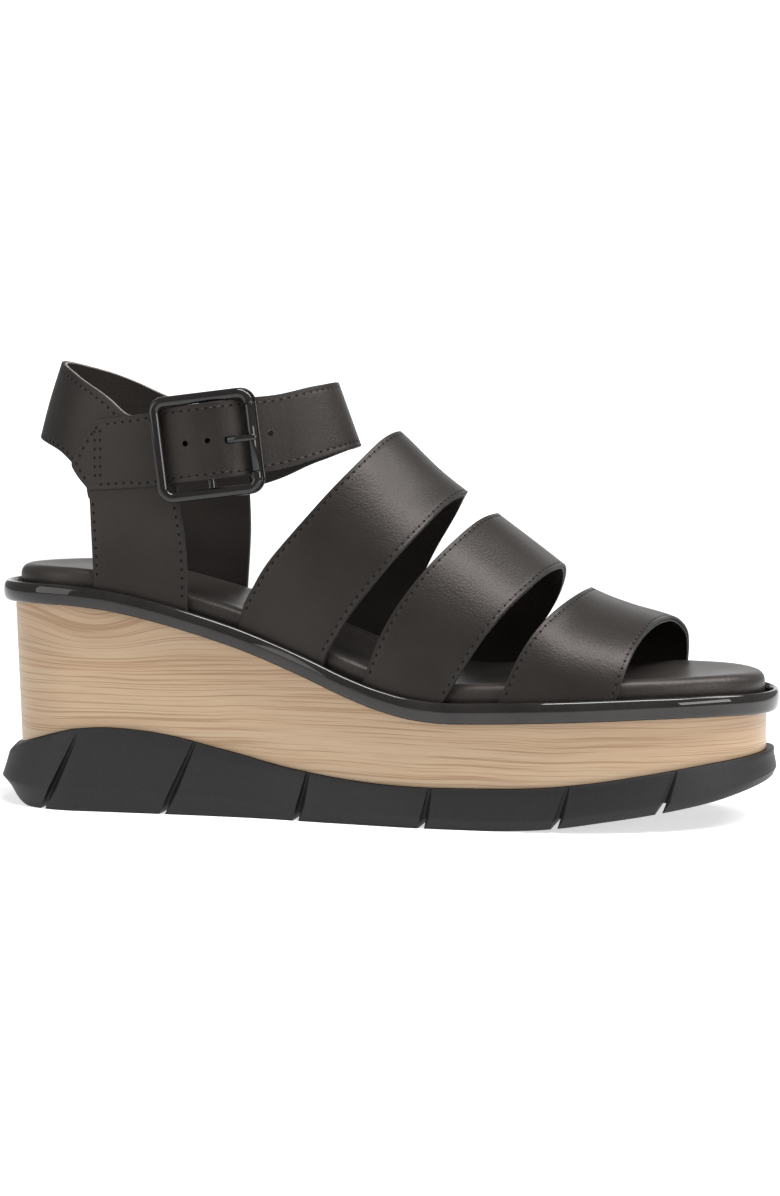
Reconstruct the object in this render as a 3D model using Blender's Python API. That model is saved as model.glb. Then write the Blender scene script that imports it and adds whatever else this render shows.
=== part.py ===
"""Women's wedge sandal, right foot: a wood-look wedge on a grooved rubber outsole, a padded
footbed, three leather straps over the forefoot, a heel sling with posts, and an ankle strap
that closes in a centre-bar buckle with a prong and a roller.

Design coordinates are millimetres: x runs from the back of the heel to the toe, y to the inner
side of the foot, z up from the ground. The finished part has its origin at the bottom centre of
its bounding box, with the toe along +X and the outer side, with the buckle, along -Y.
"""
import math

import bmesh
import bpy
import numpy as np
from mathutils import Vector

MM = 0.001

# ---- driving dimensions, mm ------------------------------------------------------------------
HEEL_X = 7.5                 # back of the footbed
TOE_X = 260.3                # front of the footbed
HEEL_RADIUS = 28.0           # plan radius of the footbed's heel
TOE_RUN_OUTER = 56.0         # length over which the outline closes at the toe, outer side
TOE_RUN_INNER = 44.5         # the same on the inner side
TOE_POWER = 2.3              # fullness of the toe's outline
TOE_SHIFT = 5.0              # how far the toe's tip lies to the inner side
STATIONS = 34                # points along each side of an outline

GAP = 0.2                    # air between cemented layers of the bottom
PLY_GAP = 0.25               # air between the plies of a strap
OUTER_PLY = 1.0
LINING_PLY = 0.7

FLANGE = 1.6                 # welt flange under the straps
MARGIN_LEVEL = 3.0           # face between the two plies of a lasted strap, above the wedge
BOARD = 1.6
BED_TOP = 11.8               # footbed above the wedge
COVER = 1.2
BEAD_OUT = 6.3               # how far the welt's bead stands out from the footbed's edge
STRAP_STANDOFF = 1.6         # straps rise this far outside the footbed's edge
LASTED = 12.0                # length of strap turned in under the insole board

BUCKLE_X, BUCKLE_Z = 81.6, 122.6
BUCKLE_PITCH = 7.0           # degrees by which the strap rises to the front at the buckle
ANKLE_WIDTH = 24.0
BAR_RADIUS = 1.1
BAR_HEIGHT = 2.5             # centre bar above the foot
END_BAR_HEIGHT = 5.15        # left bar and roller above the buckle's own plane
ROLLER_REACH = 15.2          # centre bar to the middle of the roller
LEFT_BAR = 15.9              # centre bar to the middle of the bar nearest the heel
TOP_RAIL = 14.8              # strap's middle to the middle of the upper rail
LOW_RAIL = 16.5
RIM_RADIUS = 0.5             # thin bar that closes the frame outside the roller
FRAME_BAR = 3.0
ROLLER_RADIUS = 1.45
ROLLER_BORE = 0.9
PIN_RADIUS = 0.7
ROLLER_LENGTH = 22.0
PRONG_THICK = 1.2
PRONG_WIDTH = 2.0
HOLE_PLACES = (-7.2, 0.0, 6.6, 12.8, 18.9)   # along the strap from the centre bar
PRONG_HOLE = 6.6
HOLE_RADIUS = 1.25
PRONG_SLOT = 3.4             # how much longer the prong's hole is than the others


# ---- curves and the outline ------------------------------------------------------------------
def smooth(points):
    """A cubic through the points that doesn't overshoot them."""
    xs = np.array([p[0] for p in points], float)
    ys = np.array([p[1] for p in points], float)
    steps = np.diff(xs)
    slopes = np.diff(ys) / steps
    tangents = np.zeros(len(xs))
    tangents[0], tangents[-1] = slopes[0], slopes[-1]
    for i in range(1, len(xs) - 1):
        if slopes[i - 1] * slopes[i] > 0:
            tangents[i] = 2 * slopes[i - 1] * slopes[i] / (slopes[i - 1] + slopes[i])

    def value(x):
        x = np.clip(np.asarray(x, float), xs[0], xs[-1])
        i = np.clip(np.searchsorted(xs, x) - 1, 0, len(xs) - 2)
        t = (x - xs[i]) / steps[i]
        return ((2 * t**3 - 3 * t**2 + 1) * ys[i] + (t**3 - 2 * t**2 + t) * steps[i] * tangents[i]
                + (3 * t**2 - 2 * t**3) * ys[i + 1] + (t**3 - t**2) * steps[i] * tangents[i + 1])
    return value


HALF_OUTER = smooth([(0, 28), (29, 28.5), (58, 29), (92, 30.5), (126, 36), (160, 40.5),
                     (193, 41), (227, 37.5), (262, 33)])
HALF_INNER = smooth([(0, 28), (29, 28), (58, 26.5), (92, 26), (126, 31), (160, 37),
                     (193, 38), (227, 35.5), (262, 32)])
SOLE_TOP = smooth([(0, 18.5), (8, 20), (21, 23.8), (29, 26.1), (36, 27.5), (46, 28.1), (56, 27.6),
                   (69, 25.9), (82, 23), (92, 20.8), (105, 17.8), (118, 15.7), (130, 14.2),
                   (142, 13.3), (156, 13), (177, 13.3), (192, 13.9), (203, 15), (214, 16.4),
                   (225, 18.1), (247, 21.4), (264, 23.2)])
SOLE_BOTTOM = smooth([(0, 0), (175, 0), (190, 0.6), (200, 1.6), (212, 3.4), (228, 5.8), (247, 9.3),
                      (257, 12), (265, 14.5)])
WEDGE_TOP = smooth([(0, 69.4), (20, 69.5), (30, 69.3), (43, 68.2), (56, 66.0), (69, 62.9), (82, 59.3),
                    (93, 55.9), (105, 51.6), (118, 46.6), (130, 41.6), (142, 37.6), (154, 35.1),
                    (164, 34.4), (180, 34.8), (198, 35.5), (214, 36.2), (231, 36.8), (247, 37),
                    (264, 36.2)])


def centre_y(x):
    run = np.clip((np.asarray(x, float) - 145.0) / (TOE_X - 145.0), 0, 1)
    return TOE_SHIFT * run**2


def edge_y(x, side, offset=0.0, heel=None, toe=None):
    """y of the footbed's outline grown by offset, on the outer (-1) or the inner (+1) side."""
    heel = offset if heel is None else heel
    toe = offset if toe is None else toe
    x = np.asarray(x, float)
    heel_run = HEEL_RADIUS + heel
    toe_run = (TOE_RUN_OUTER if side < 0 else TOE_RUN_INNER) + toe
    back = np.clip((HEEL_X - heel + heel_run - x) / heel_run, 0, 1)
    front = np.clip((x - (TOE_X + toe - toe_run)) / toe_run, 0, 1)
    closing = np.sqrt(1 - back**2) * (1 - front**TOE_POWER)**(1 / TOE_POWER)
    middle = centre_y(x)
    half = HALF_OUTER(x) + middle if side < 0 else HALF_INNER(x) - middle
    return middle + side * (half + offset) * closing


def ring(offset, height, heel=None, toe=None):
    """A closed outline: heel tip, outer side, toe tip, inner side. height is a function of x."""
    heel = offset if heel is None else heel
    toe = offset if toe is None else toe
    start, end = HEEL_X - heel, TOE_X + toe
    turn = math.pi * np.arange(STATIONS) / (STATIONS - 1)
    x = start + (end - start) * (1 - np.cos(turn)) / 2
    outer = np.stack([x, edge_y(x, -1, offset, heel, toe), height(x)], 1)
    inner = np.stack([x, edge_y(x, 1, offset, heel, toe), height(x)], 1)
    return np.vstack([outer, inner[-2:0:-1]])


def above(base, rise):
    return lambda x: base(x) + rise


# ---- mesh helpers ----------------------------------------------------------------------------
def new_object(name, points, faces, origin=(0, 0, 0)):
    """One object from points in design millimetres, with its normals turned outwards."""
    mesh = bpy.data.meshes.new(name)
    shifted = [Vector(p) * MM - Vector(origin) * MM for p in points]
    mesh.from_pydata(shifted, [], faces)
    bm = bmesh.new()
    bm.from_mesh(mesh)
    bmesh.ops.recalc_face_normals(bm, faces=bm.faces)
    bm.to_mesh(mesh)
    bm.free()
    obj = bpy.data.objects.new(name, mesh)
    obj.location = Vector(origin) * MM
    bpy.context.scene.collection.objects.link(obj)
    return obj


def cap_faces(start):
    """Strips across one ring, from its outer side to the same stations on its inner side."""
    def partner(i):
        return start + (2 * STATIONS - 2 - i) % (2 * STATIONS - 2)
    last = STATIONS - 1
    faces = [(start, start + 1, partner(1)), (start + last, partner(last - 1), start + last - 1)]
    faces += [(start + i, start + i + 1, partner(i + 1), partner(i)) for i in range(1, last - 1)]
    return faces


def stack(name, rings, closed=False):
    """A solid between outline rings: capped at both ends, or closed on itself like a tyre."""
    count = len(rings[0])
    points = np.vstack(rings)
    pairs = list(zip(range(len(rings) - 1), range(1, len(rings))))
    if closed:
        pairs.append((len(rings) - 1, 0))
    faces = []
    for a, b in pairs:
        for i in range(count):
            j = (i + 1) % count
            faces.append((a * count + i, a * count + j, b * count + j, b * count + i))
    if not closed:
        faces += cap_faces(0) + cap_faces((len(rings) - 1) * count)
    return new_object(name, points, faces)


def grid_faces(rows, columns):
    return [(r * columns + c, r * columns + c + 1, (r + 1) * columns + c + 1, (r + 1) * columns + c)
            for r in range(rows - 1) for c in range(columns - 1)]


def sheet_normals(points, faces):
    """Unit normals of an open sheet at its points, away from the middle of what it wraps."""
    normals = np.zeros_like(points)
    for face in faces:
        a, b, c, d = (points[i] for i in face)
        normal = np.cross(c - a, d - b)
        for i in face:
            normals[i] += normal
    if ((points - points.mean(axis=0)) * normals).sum() < 0:
        normals = -normals
    return normals / np.linalg.norm(normals, axis=1)[:, None]


def ply(name, points, faces, low, high, origin=(0, 0, 0)):
    """A closed sheet of leather from low to high along the normals of an open sheet."""
    normals = sheet_normals(points, faces)
    count = len(points)
    solid = np.vstack([points + normals * low, points + normals * high])
    shell = [tuple(reversed(f)) for f in faces] + [tuple(i + count for i in f) for f in faces]
    edges = {}
    for face in faces:
        for a, b in zip(face, face[1:] + face[:1]):
            edges[(a, b)] = True
    shell += [(a, b, b + count, a + count) for a, b in edges if (b, a) not in edges]
    return new_object(name, solid, shell, origin)


def cutter(name, points, faces):
    obj = new_object(name, points, faces)
    obj.hide_render = True
    obj.display_type = "WIRE"
    return obj


def boolean(obj, tool, operation="DIFFERENCE"):
    modifier = obj.modifiers.new(tool.name, "BOOLEAN")
    modifier.operation = operation
    modifier.solver = "EXACT"
    modifier.object = tool


def prism(outline, direction, length):
    """Points and faces of a flat outline pushed along a direction, centred on the outline."""
    half = np.asarray(direction, float) * length / 2
    outline = [np.asarray(p, float) for p in outline]
    count = len(outline)
    points = [p - half for p in outline] + [p + half for p in outline]
    faces = [tuple(range(count)), tuple(range(2 * count - 1, count - 1, -1))]
    faces += [(i, (i + 1) % count, count + (i + 1) % count, count + i) for i in range(count)]
    return points, faces


def merge(pieces):
    """Points and faces of several separate closed shapes in one list."""
    points, faces = [], []
    for some_points, some_faces in pieces:
        start = len(points)
        points += list(some_points)
        faces += [tuple(i + start for i in f) for f in some_faces]
    return points, faces


def material(name, colour, roughness, metallic=0.0, coat=0.0):
    made = bpy.data.materials.new(name)
    made.use_nodes = True
    shader = made.node_tree.nodes["Principled BSDF"]
    shader.inputs["Base Color"].default_value = (*colour, 1)
    shader.inputs["Roughness"].default_value = roughness
    shader.inputs["Metallic"].default_value = metallic
    shader.inputs["Coat Weight"].default_value = coat
    made.diffuse_color = (*colour, 1)
    return made


def finish(obj, colour, roughness, metallic=0.0, coat=0.0, smooth_angle=None):
    obj.data.materials.append(material(obj.name + "_finish", colour, roughness, metallic, coat))
    if smooth_angle:
        obj.data.shade_smooth()
        obj.data.set_sharp_from_angle(angle=math.radians(smooth_angle))
    return obj


LEATHER = (0.035, 0.030, 0.027)
LINING = (0.030, 0.026, 0.024)
PATENT = (0.012, 0.011, 0.011)
RUBBER = (0.030, 0.028, 0.027)
WOOD = (0.60, 0.45, 0.31)
ENAMEL = (0.015, 0.013, 0.013)


# ---- the bottom ------------------------------------------------------------------------------
GROOVES = ((24.0, 35.0), (65.5, 76.8), (112.0, 116.3), (155.0, 157.8), (198.0, 202.2), (230.3, 235.3))
GROOVE_WIDTH = 3.4
NOTCH_HEIGHT = 3.4
HEEL_LIFT = 9.5              # height to which the back of the outsole is bevelled
HEEL_LIFT_RUN = 17.0


def sole_underside(x):
    lift = np.clip(1 - np.asarray(x, float) / HEEL_LIFT_RUN, 0, 1)
    return SOLE_BOTTOM(x) + HEEL_LIFT * lift**1.6


FLANK_RISE = smooth([(0, 1.5), (12, 7.5), (65, 7.5), (110, 5.0), (187, 3.0), (230, 3.0),
                     (262, 2.5)])


def flank_height(x):
    """The widest line of the outsole's flank."""
    return sole_underside(x) + FLANK_RISE(x)


def groove_cutter(name, bottoms, side):
    """Slanting slots through the flank on one side (-1, +1), or notches right across (0)."""
    pieces = []
    for bottom, top in GROOVES:
        low, high = float(SOLE_BOTTOM(bottom)) - 2.0, float(SOLE_TOP(top)) + 1.0
        lean = (top - bottom) / (float(SOLE_TOP(top)) - float(SOLE_BOTTOM(bottom)))
        if side == 0:
            high = float(SOLE_BOTTOM(bottom)) + NOTCH_HEIGHT
        first, last = bottom - 2.0 * lean, bottom + (high - low - 2.0) * lean
        half = GROOVE_WIDTH / 2
        outline = [(first - half, 0, low), (first + half, 0, low), (last + half, 0, high),
                   (last - half, 0, high)]
        if side == 0:
            pieces.append(prism(outline, (0, 1, 0), 140.0))
            continue
        middle = (bottom + top) / 2
        wall = float(edge_y(middle, side, 1.9))
        slope = (float(edge_y(middle + 4, side, 1.9)) - float(edge_y(middle - 4, side, 1.9))) / 8
        points, faces = prism(outline, (0, 1, 0), 20.0)
        points = [p + np.array([0, wall + side * 10.0 + slope * (p[0] - middle), 0]) for p in points]
        pieces.append((points, faces))
    points, faces = merge(pieces)
    return cutter(name, points, faces)


def make_outsole():
    rings = [ring(2.6, SOLE_TOP, heel=3.6, toe=2.8),
             ring(4.4, flank_height, heel=7.5, toe=3.9),
             ring(3.2, sole_underside, heel=7.0, toe=3.4)]
    obj = stack("outsole", rings)
    for name, side in (("grooves_outer", -1), ("grooves_inner", 1), ("grooves_across", 0)):
        boolean(obj, groove_cutter(name, GROOVES, side))
    return finish(obj, RUBBER, 0.62, smooth_angle=25)


def make_wedge():
    rings = [ring(1.4, above(SOLE_TOP, GAP), heel=0.2, toe=0.6),
             ring(1.9, WEDGE_TOP, heel=2.0, toe=0.6)]
    return finish(stack("wedge", rings), WOOD, 0.35, smooth_angle=30)


def make_welt():
    """A flange under the straps and a glossy bead standing proud round the wedge's top edge."""
    heel_share, toe_share = 0.94, 0.75
    profile = [(-8.0, GAP), (-8.0, FLANGE), (3.1, FLANGE), (3.2, 5.2), (3.8, 6.2), (4.9, 6.3),
               (6.0, 5.2), (BEAD_OUT, 3.2), (5.9, 0.9), (4.8, -0.4), (2.9, -0.4), (2.4, GAP)]
    rings = []
    for d, h in profile:
        heel, toe = (d * heel_share, d * toe_share) if d > 0 else (d, d)
        rings.append(ring(d, above(WEDGE_TOP, h), heel, toe))
    return finish(stack("welt", rings, closed=True), PATENT, 0.12, coat=1.0, smooth_angle=50)


def make_filler():
    rings = [ring(-13.0, above(WEDGE_TOP, FLANGE + GAP)), ring(-13.0, above(WEDGE_TOP, 4.0))]
    return finish(stack("bottom_filler", rings), (0.25, 0.16, 0.09), 0.9)


def make_board():
    level = 4.2
    rings = [ring(-1.3, above(WEDGE_TOP, level)), ring(-1.3, above(WEDGE_TOP, level + BOARD))]
    return finish(stack("insole_board", rings), (0.35, 0.25, 0.16), 0.85)


def make_foam():
    rings = [ring(-1.3, above(WEDGE_TOP, 6.0)), ring(-1.3, above(WEDGE_TOP, 8.4)),
             ring(-1.9, above(WEDGE_TOP, 9.7)), ring(-3.2, above(WEDGE_TOP, BED_TOP - COVER - GAP))]
    return finish(stack("footbed_foam", rings), (0.70, 0.66, 0.55), 0.95)


def make_cover():
    """The footbed's leather: a top face with skirts wrapped down over the foam and the board."""
    skirt = 4.3
    rings = [ring(-3.2, above(WEDGE_TOP, BED_TOP - COVER)), ring(-1.9, above(WEDGE_TOP, 10.0)),
             ring(-1.05, above(WEDGE_TOP, 8.5)), ring(-1.05, above(WEDGE_TOP, skirt)),
             ring(0.0, above(WEDGE_TOP, skirt)), ring(0.0, above(WEDGE_TOP, 8.8)),
             ring(-0.7, above(WEDGE_TOP, 10.8)), ring(-2.4, above(WEDGE_TOP, BED_TOP))]
    return finish(stack("footbed_cover", rings), LEATHER, 0.45, smooth_angle=50)


# ---- forefoot straps -------------------------------------------------------------------------
CREST_Z = smooth([(88, 172), (110, 151), (125, 136.8), (137.5, 125.2), (150, 112.8), (160, 105.0),
                  (170, 97.8), (183, 88.0), (193, 80.0), (201, 73.4), (214, 68.3), (227, 64.5),
                  (233, 62.0), (245, 56)])
CREST_Y = smooth([(88, 0), (125, 3), (150, 7), (180, 9), (210, 11), (235, 12)])
FULL_OUTER = smooth([(88, 2.2), (125, 2.0), (160, 2.0), (200, 2.3), (235, 2.5)])
FULL_INNER = smooth([(88, 2.2), (125, 2.2), (160, 2.3), (200, 2.4), (235, 2.5)])


def foot_point(x, t):
    """A point of the forefoot's surface: t runs from 0 at the outer edge of the footbed, over
    the crest at 0.5, to 1 at its inner edge."""
    base = float(WEDGE_TOP(x)) + MARGIN_LEVEL
    rise = float(CREST_Z(x)) - base
    crest = float(CREST_Y(x))
    side = -1 if t < 0.5 else 1
    power = 2 / float(FULL_OUTER(x) if side < 0 else FULL_INNER(x))
    wall = float(edge_y(x, side, STRAP_STANDOFF))
    angle = math.pi * t
    across = abs(math.cos(angle))**power
    return np.array([x, crest + (wall - crest) * across, base + rise * math.sin(angle)**power])


def lasted_rows(point, side):
    """Rows from the turned-in margin to the foot of the wall, for one column of a strap."""
    x, y, z = point
    inward = -side
    return [np.array([x, y + inward * LASTED, z]), np.array([x, y + inward * 1.2, z]),
            np.array([x, y + inward * 0.35, z + 0.35]), np.array([x, y, z + 1.2])]


def strap_sheet(back, front, columns=6, rows=21):
    """The middle sheet of a strap between two edges, each x as a function of t."""
    grid = []
    for c in range(columns):
        share = c / (columns - 1)

        def at(t):
            return foot_point(float(back(t)) * (1 - share) + float(front(t)) * share, t)
        column = lasted_rows(at(0.0), -1)
        steps = 0.5 - 0.5 * np.cos(math.pi * (np.arange(rows) + 1) / (rows + 1))
        column += [at(0.018 + 0.964 * t) for t in steps]
        column += reversed(lasted_rows(at(1.0), 1))
        grid.append(column)
    points = np.array(grid).transpose(1, 0, 2)
    return points.reshape(-1, 3), grid_faces(points.shape[0], columns)


STRAPS = {
    "instep": (smooth([(0, 91.8), (0.03, 93.6), (0.086, 102.9), (0.14, 111.5), (0.23, 122.8), (0.34, 132.3),
                       (0.5, 137.4), (0.62, 134.6), (0.75, 127), (0.86, 117.5), (0.94, 108.5), (1, 101)]),
               smooth([(0, 121.0), (0.036, 123.6), (0.105, 133.3), (0.2, 144.7), (0.33, 155.0), (0.5, 160.2),
                       (0.58, 158.4), (0.7, 153.6), (0.84, 143.2), (0.93, 135.5), (1, 130)])),
    "mid": (smooth([(0, 134.3), (0.073, 140), (0.132, 146), (0.226, 155.6), (0.3, 162), (0.41, 167.6),
                    (0.5, 169.8), (0.62, 167.5), (0.75, 162.5), (0.87, 155.5), (1, 147.5)]),
            smooth([(0, 160.3), (0.05, 166.2), (0.1, 171.4), (0.157, 177.1), (0.22, 182.4), (0.31, 187.8),
                    (0.5, 192.0), (0.62, 191.6), (0.74, 189.4), (0.84, 185.1), (0.936, 176.8), (1, 171)])),
    "toe": (smooth([(0, 178.9), (0.073, 183.6), (0.14, 188), (0.22, 193), (0.33, 197.8), (0.5, 201.3),
                    (0.65, 199.7), (0.8, 197), (1, 193)]),
            smooth([(0, 216.2), (0.11, 219.4), (0.25, 222.5), (0.37, 225.4), (0.5, 228.2), (0.64, 231.2),
                    (0.73, 232.7), (0.85, 232.5), (1, 231.4)])),
}


def make_straps():
    for name, (back, front) in STRAPS.items():
        points, faces = strap_sheet(back, front)
        outer = ply(name + "_strap", points, faces, 0.0, OUTER_PLY)
        finish(outer, LEATHER, 0.42, smooth_angle=40)
        lining = ply(name + "_lining", points, faces, -PLY_GAP - LINING_PLY, -PLY_GAP)
        finish(lining, LINING, 0.6, smooth_angle=40)


# ---- the surface round the heel and the ankle ------------------------------------------------
HEEL_BACK = smooth([(60, 10), (82, 10), (100, 11), (112, 12.8), (124, 15.3), (137, 19), (152, 24)])
ANKLE_FRONT = smooth([(60, 150), (82, 141), (100, 131.2), (120.6, 123.4), (142.6, 115.4), (152, 112)])
ANKLE_OUTER = smooth([(60, -30.5), (82, -30.5), (100, -31.5), (136, -31.5), (152, -29.8)])
ANKLE_INNER = smooth([(60, 28.5), (82, 28.5), (100, 30), (122, 31), (140, 30), (152, 29)])


def ankle_point(angle, z):
    """A point of the rear surface. angle is in degrees: 0 front, 90 outer side, 180 back, 270 inner."""
    turn = math.radians(angle)
    back, front = float(HEEL_BACK(z)), float(ANKLE_FRONT(z))
    x = (back + front) / 2 + (front - back) / 2 * math.cos(turn)
    outer, inner = float(ANKLE_OUTER(z)), float(ANKLE_INNER(z))
    y = (inner + outer) / 2 - (inner - outer) / 2 * math.sin(turn)
    side = -1 if math.sin(turn) > 0 else 1
    rise = np.clip((z - float(WEDGE_TOP(x)) - BED_TOP + 4) / 30.0, 0, 1)
    share = float(rise**2 * (3 - 2 * rise))
    return np.array([x, y * share + float(edge_y(x, side, STRAP_STANDOFF)) * (1 - share), z])


def ankle_angle(x, z, side):
    """The angle at which the rear surface has this x on the outer (-1) or the inner (+1) side."""
    back, front = float(HEEL_BACK(z)), float(ANKLE_FRONT(z))
    share = np.clip((x - (back + front) / 2) / ((front - back) / 2), -1, 1)
    angle = math.degrees(math.acos(share))
    return angle if side < 0 else 360 - angle


def ankle_normal(angle, z):
    along = ankle_point(angle + 0.5, z) - ankle_point(angle - 0.5, z)
    upward = ankle_point(angle, z + 0.5) - ankle_point(angle, z - 0.5)
    normal = np.cross(upward, along)
    return normal / np.linalg.norm(normal)


def lifted(angle, z, height):
    return ankle_point(angle, z) + ankle_normal(angle, z) * height


# ---- quarter: outer post, heel sling and inner post in one piece ------------------------------
POST_TOP = 104.0
OUTER_POST = (smooth([(60, 74.0), (73, 74.3), (90, 73.6), (104, 71.6)]),      # front edge, x of z
              smooth([(60, 42.4), (76, 42.0), (97, 40.4), (104, 39.9)]))      # back edge
INNER_POST = (smooth([(60, 78.4), (73, 79.0), (90, 79.8), (104, 79.2)]),
              smooth([(60, 49.0), (76, 48.6), (97, 47.0), (104, 46.5)]))
SLING_LOW_OUTER = ((38.6, 108.3), (36.0, 112.4), (32.4, 116.4), (27.6, 119.8))     # (x, z)
SLING_TOP_OUTER = ((48.0, 136.4), (44.4, 138.9), (40.7, 141.0), (35.5, 143.8))
SLING_LOW_INNER = ((45.0, 108.5), (42.0, 112.8), (38.0, 116.8), (31.5, 120.6))
SLING_TOP_INNER = ((50.0, 138.2), (46.2, 140.0), (42.0, 142.2), (35.5, 145.2))
SLING_LOW_BACK, SLING_TOP_BACK = 124.3, 149.8
POST_COLUMNS = 5
BACK_COLUMNS = 9
SLING_ROWS = 5
POST_ROWS = 6


def post_columns(edges, side, top_front, top_back):
    """(angle, z) at the foot and the head of each column of the sling above one post."""
    columns = []
    for c in range(POST_COLUMNS):
        share = c / (POST_COLUMNS - 1)
        low_x = float(edges[0](POST_TOP)) * (1 - share) + float(edges[1](POST_TOP)) * share
        top_x = top_front[0] * (1 - share) + top_back[0] * share
        top_z = top_front[1] * (1 - share) + top_back[1] * share
        columns.append(((ankle_angle(low_x, POST_TOP, side), POST_TOP),
                        (ankle_angle(top_x, top_z, side), top_z)))
    return columns


def turn_columns(low, top, side):
    return [((ankle_angle(a[0], a[1], side), a[1]), (ankle_angle(b[0], b[1], side), b[1]))
            for a, b in zip(low, top)]


def quarter_sheet():
    outer = post_columns(OUTER_POST, -1, (71.0, 130.5), (51.0, 135.2))
    outer += turn_columns(SLING_LOW_OUTER, SLING_TOP_OUTER, -1)
    inner = post_columns(INNER_POST, 1, (79.0, 130.5), (54.0, 136.2))
    inner += turn_columns(SLING_LOW_INNER, SLING_TOP_INNER, 1)
    (low_a, low_z), (top_a, top_z) = outer[-1]
    (low_end, low_end_z), (top_end, top_end_z) = inner[-1]
    back = []
    for c in range(1, BACK_COLUMNS + 1):
        share = c / (BACK_COLUMNS + 1)
        bow = math.sin(math.pi * share)**0.8
        low = low_z * (1 - share) + low_end_z * share
        top = top_z * (1 - share) + top_end_z * share
        back.append(((low_a * (1 - share) + low_end * share, low + (SLING_LOW_BACK - low) * bow),
                     (top_a * (1 - share) + top_end * share, top + (SLING_TOP_BACK - top) * bow)))
    columns = outer + back + inner[::-1]
    points, faces = [], []
    for (a0, z0), (a1, z1) in columns:
        for r in range(SLING_ROWS + 1):
            share = r / SLING_ROWS
            points.append(ankle_point(a0 * (1 - share) + a1 * share, z0 * (1 - share) + z1 * share))
    high = SLING_ROWS + 1
    faces = [(c * high + r, (c + 1) * high + r, (c + 1) * high + r + 1, c * high + r + 1)
             for c in range(len(columns) - 1) for r in range(SLING_ROWS)]
    for edges, side, first, step in ((OUTER_POST, -1, 0, 1), (INNER_POST, 1, len(columns) - 1, -1)):
        posts = []
        for c in range(POST_COLUMNS):
            share = c / (POST_COLUMNS - 1)
            foot_x = float(edges[0](72)) * (1 - share) + float(edges[1](72)) * share
            foot_z = float(WEDGE_TOP(foot_x)) + MARGIN_LEVEL
            foot = np.array([foot_x, float(edge_y(foot_x, side, STRAP_STANDOFF)), foot_z])
            column = lasted_rows(foot, side)
            for r in range(1, POST_ROWS):
                z = foot_z + 1.2 + (POST_TOP - foot_z - 1.2) * r / POST_ROWS
                x = float(edges[0](z)) * (1 - share) + float(edges[1](z)) * share
                column.append(ankle_point(ankle_angle(x, z, side), z))
            start = len(points)
            points.extend(column)
            posts.append(list(range(start, start + len(column))) + [(first + step * c) * high])
        for left, right in zip(posts, posts[1:]):
            for r in range(len(left) - 1):
                face = (left[r], right[r], right[r + 1], left[r + 1])
                faces.append(face if side < 0 else face[::-1])
    return np.array(points), faces


def make_quarter():
    points, faces = quarter_sheet()
    finish(ply("quarter", points, faces, 0.0, OUTER_PLY), LEATHER, 0.42, smooth_angle=40)
    lining = ply("quarter_lining", points, faces, -PLY_GAP - LINING_PLY, -PLY_GAP)
    finish(lining, LINING, 0.6, smooth_angle=40)


# ---- the buckle's own frame: along the strap, up the strap, away from the foot -----------------
PITCH = math.radians(BUCKLE_PITCH)


def buckle_angle_z(along, up, climb=0.0):
    """(angle, z) on the rear surface for a place given along and across the strap."""
    x = BUCKLE_X + along * math.cos(PITCH) - up * math.sin(PITCH)
    z = BUCKLE_Z + along * math.sin(PITCH) + up * math.cos(PITCH) + climb
    return ankle_angle(x, z, -1), z


def on_strap(along, up, height):
    angle, z = buckle_angle_z(along, up)
    return lifted(angle, z, height)


def buckle_axes():
    origin = on_strap(0, 0, 0)
    along = on_strap(3, 0, 0) - on_strap(-3, 0, 0)
    along /= np.linalg.norm(along)
    out = ankle_normal(*buckle_angle_z(0, 0))
    up = np.cross(out, along)
    up /= np.linalg.norm(up)
    if up[2] < 0:
        up = -up
    out = np.cross(along, up)
    if out[1] > 0:
        out = -out
    return origin, along, up, out


ORIGIN, ALONG, UP, OUT = buckle_axes()


def local(along, up, height):
    """A design point from the buckle's own coordinates."""
    return ORIGIN + ALONG * along + UP * up + OUT * height


def tube(path, radii, sides=12, flat=1.0, axis=None, closed=False):
    """Points and faces of a round or flattened bar along a path. axis is its sideways direction."""
    path = [np.asarray(p, float) for p in path]
    points = []
    for i, place in enumerate(path):
        before = path[i - 1] if i > 0 or closed else place
        after = path[(i + 1) % len(path)] if i < len(path) - 1 or closed else place
        ahead = (after - before) / np.linalg.norm(after - before)
        sideways = axis - ahead * (axis @ ahead)
        sideways /= np.linalg.norm(sideways)
        normal = np.cross(ahead, sideways)
        for s in range(sides):
            turn = 2 * math.pi * (s + 0.5) / sides
            points.append(place + sideways * radii[i] * flat * math.cos(turn)
                          + normal * radii[i] * math.sin(turn))
    faces = []
    last = len(path) if closed else len(path) - 1
    for i in range(last):
        for s in range(sides):
            a, b = i * sides, ((i + 1) % len(path)) * sides
            t = (s + 1) % sides
            faces.append((a + s, a + t, b + t, b + s))
    if not closed:
        faces.append(tuple(range(sides)))
        faces.append(tuple(reversed(range((len(path) - 1) * sides, len(path) * sides))))
    return points, faces


# ---- the short strap that holds the buckle -----------------------------------------------------
LOOP_RADIUS = BAR_RADIUS + 0.2 + OUTER_PLY / 2
LOOP_STEPS = 8
SLOT_LENGTH = (-3.6, 3.4)
SLOT_WIDTH = 3.2
TAIL_LIFT = 1.8              # middle of the strap above the foot where it lies on the quarter


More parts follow.
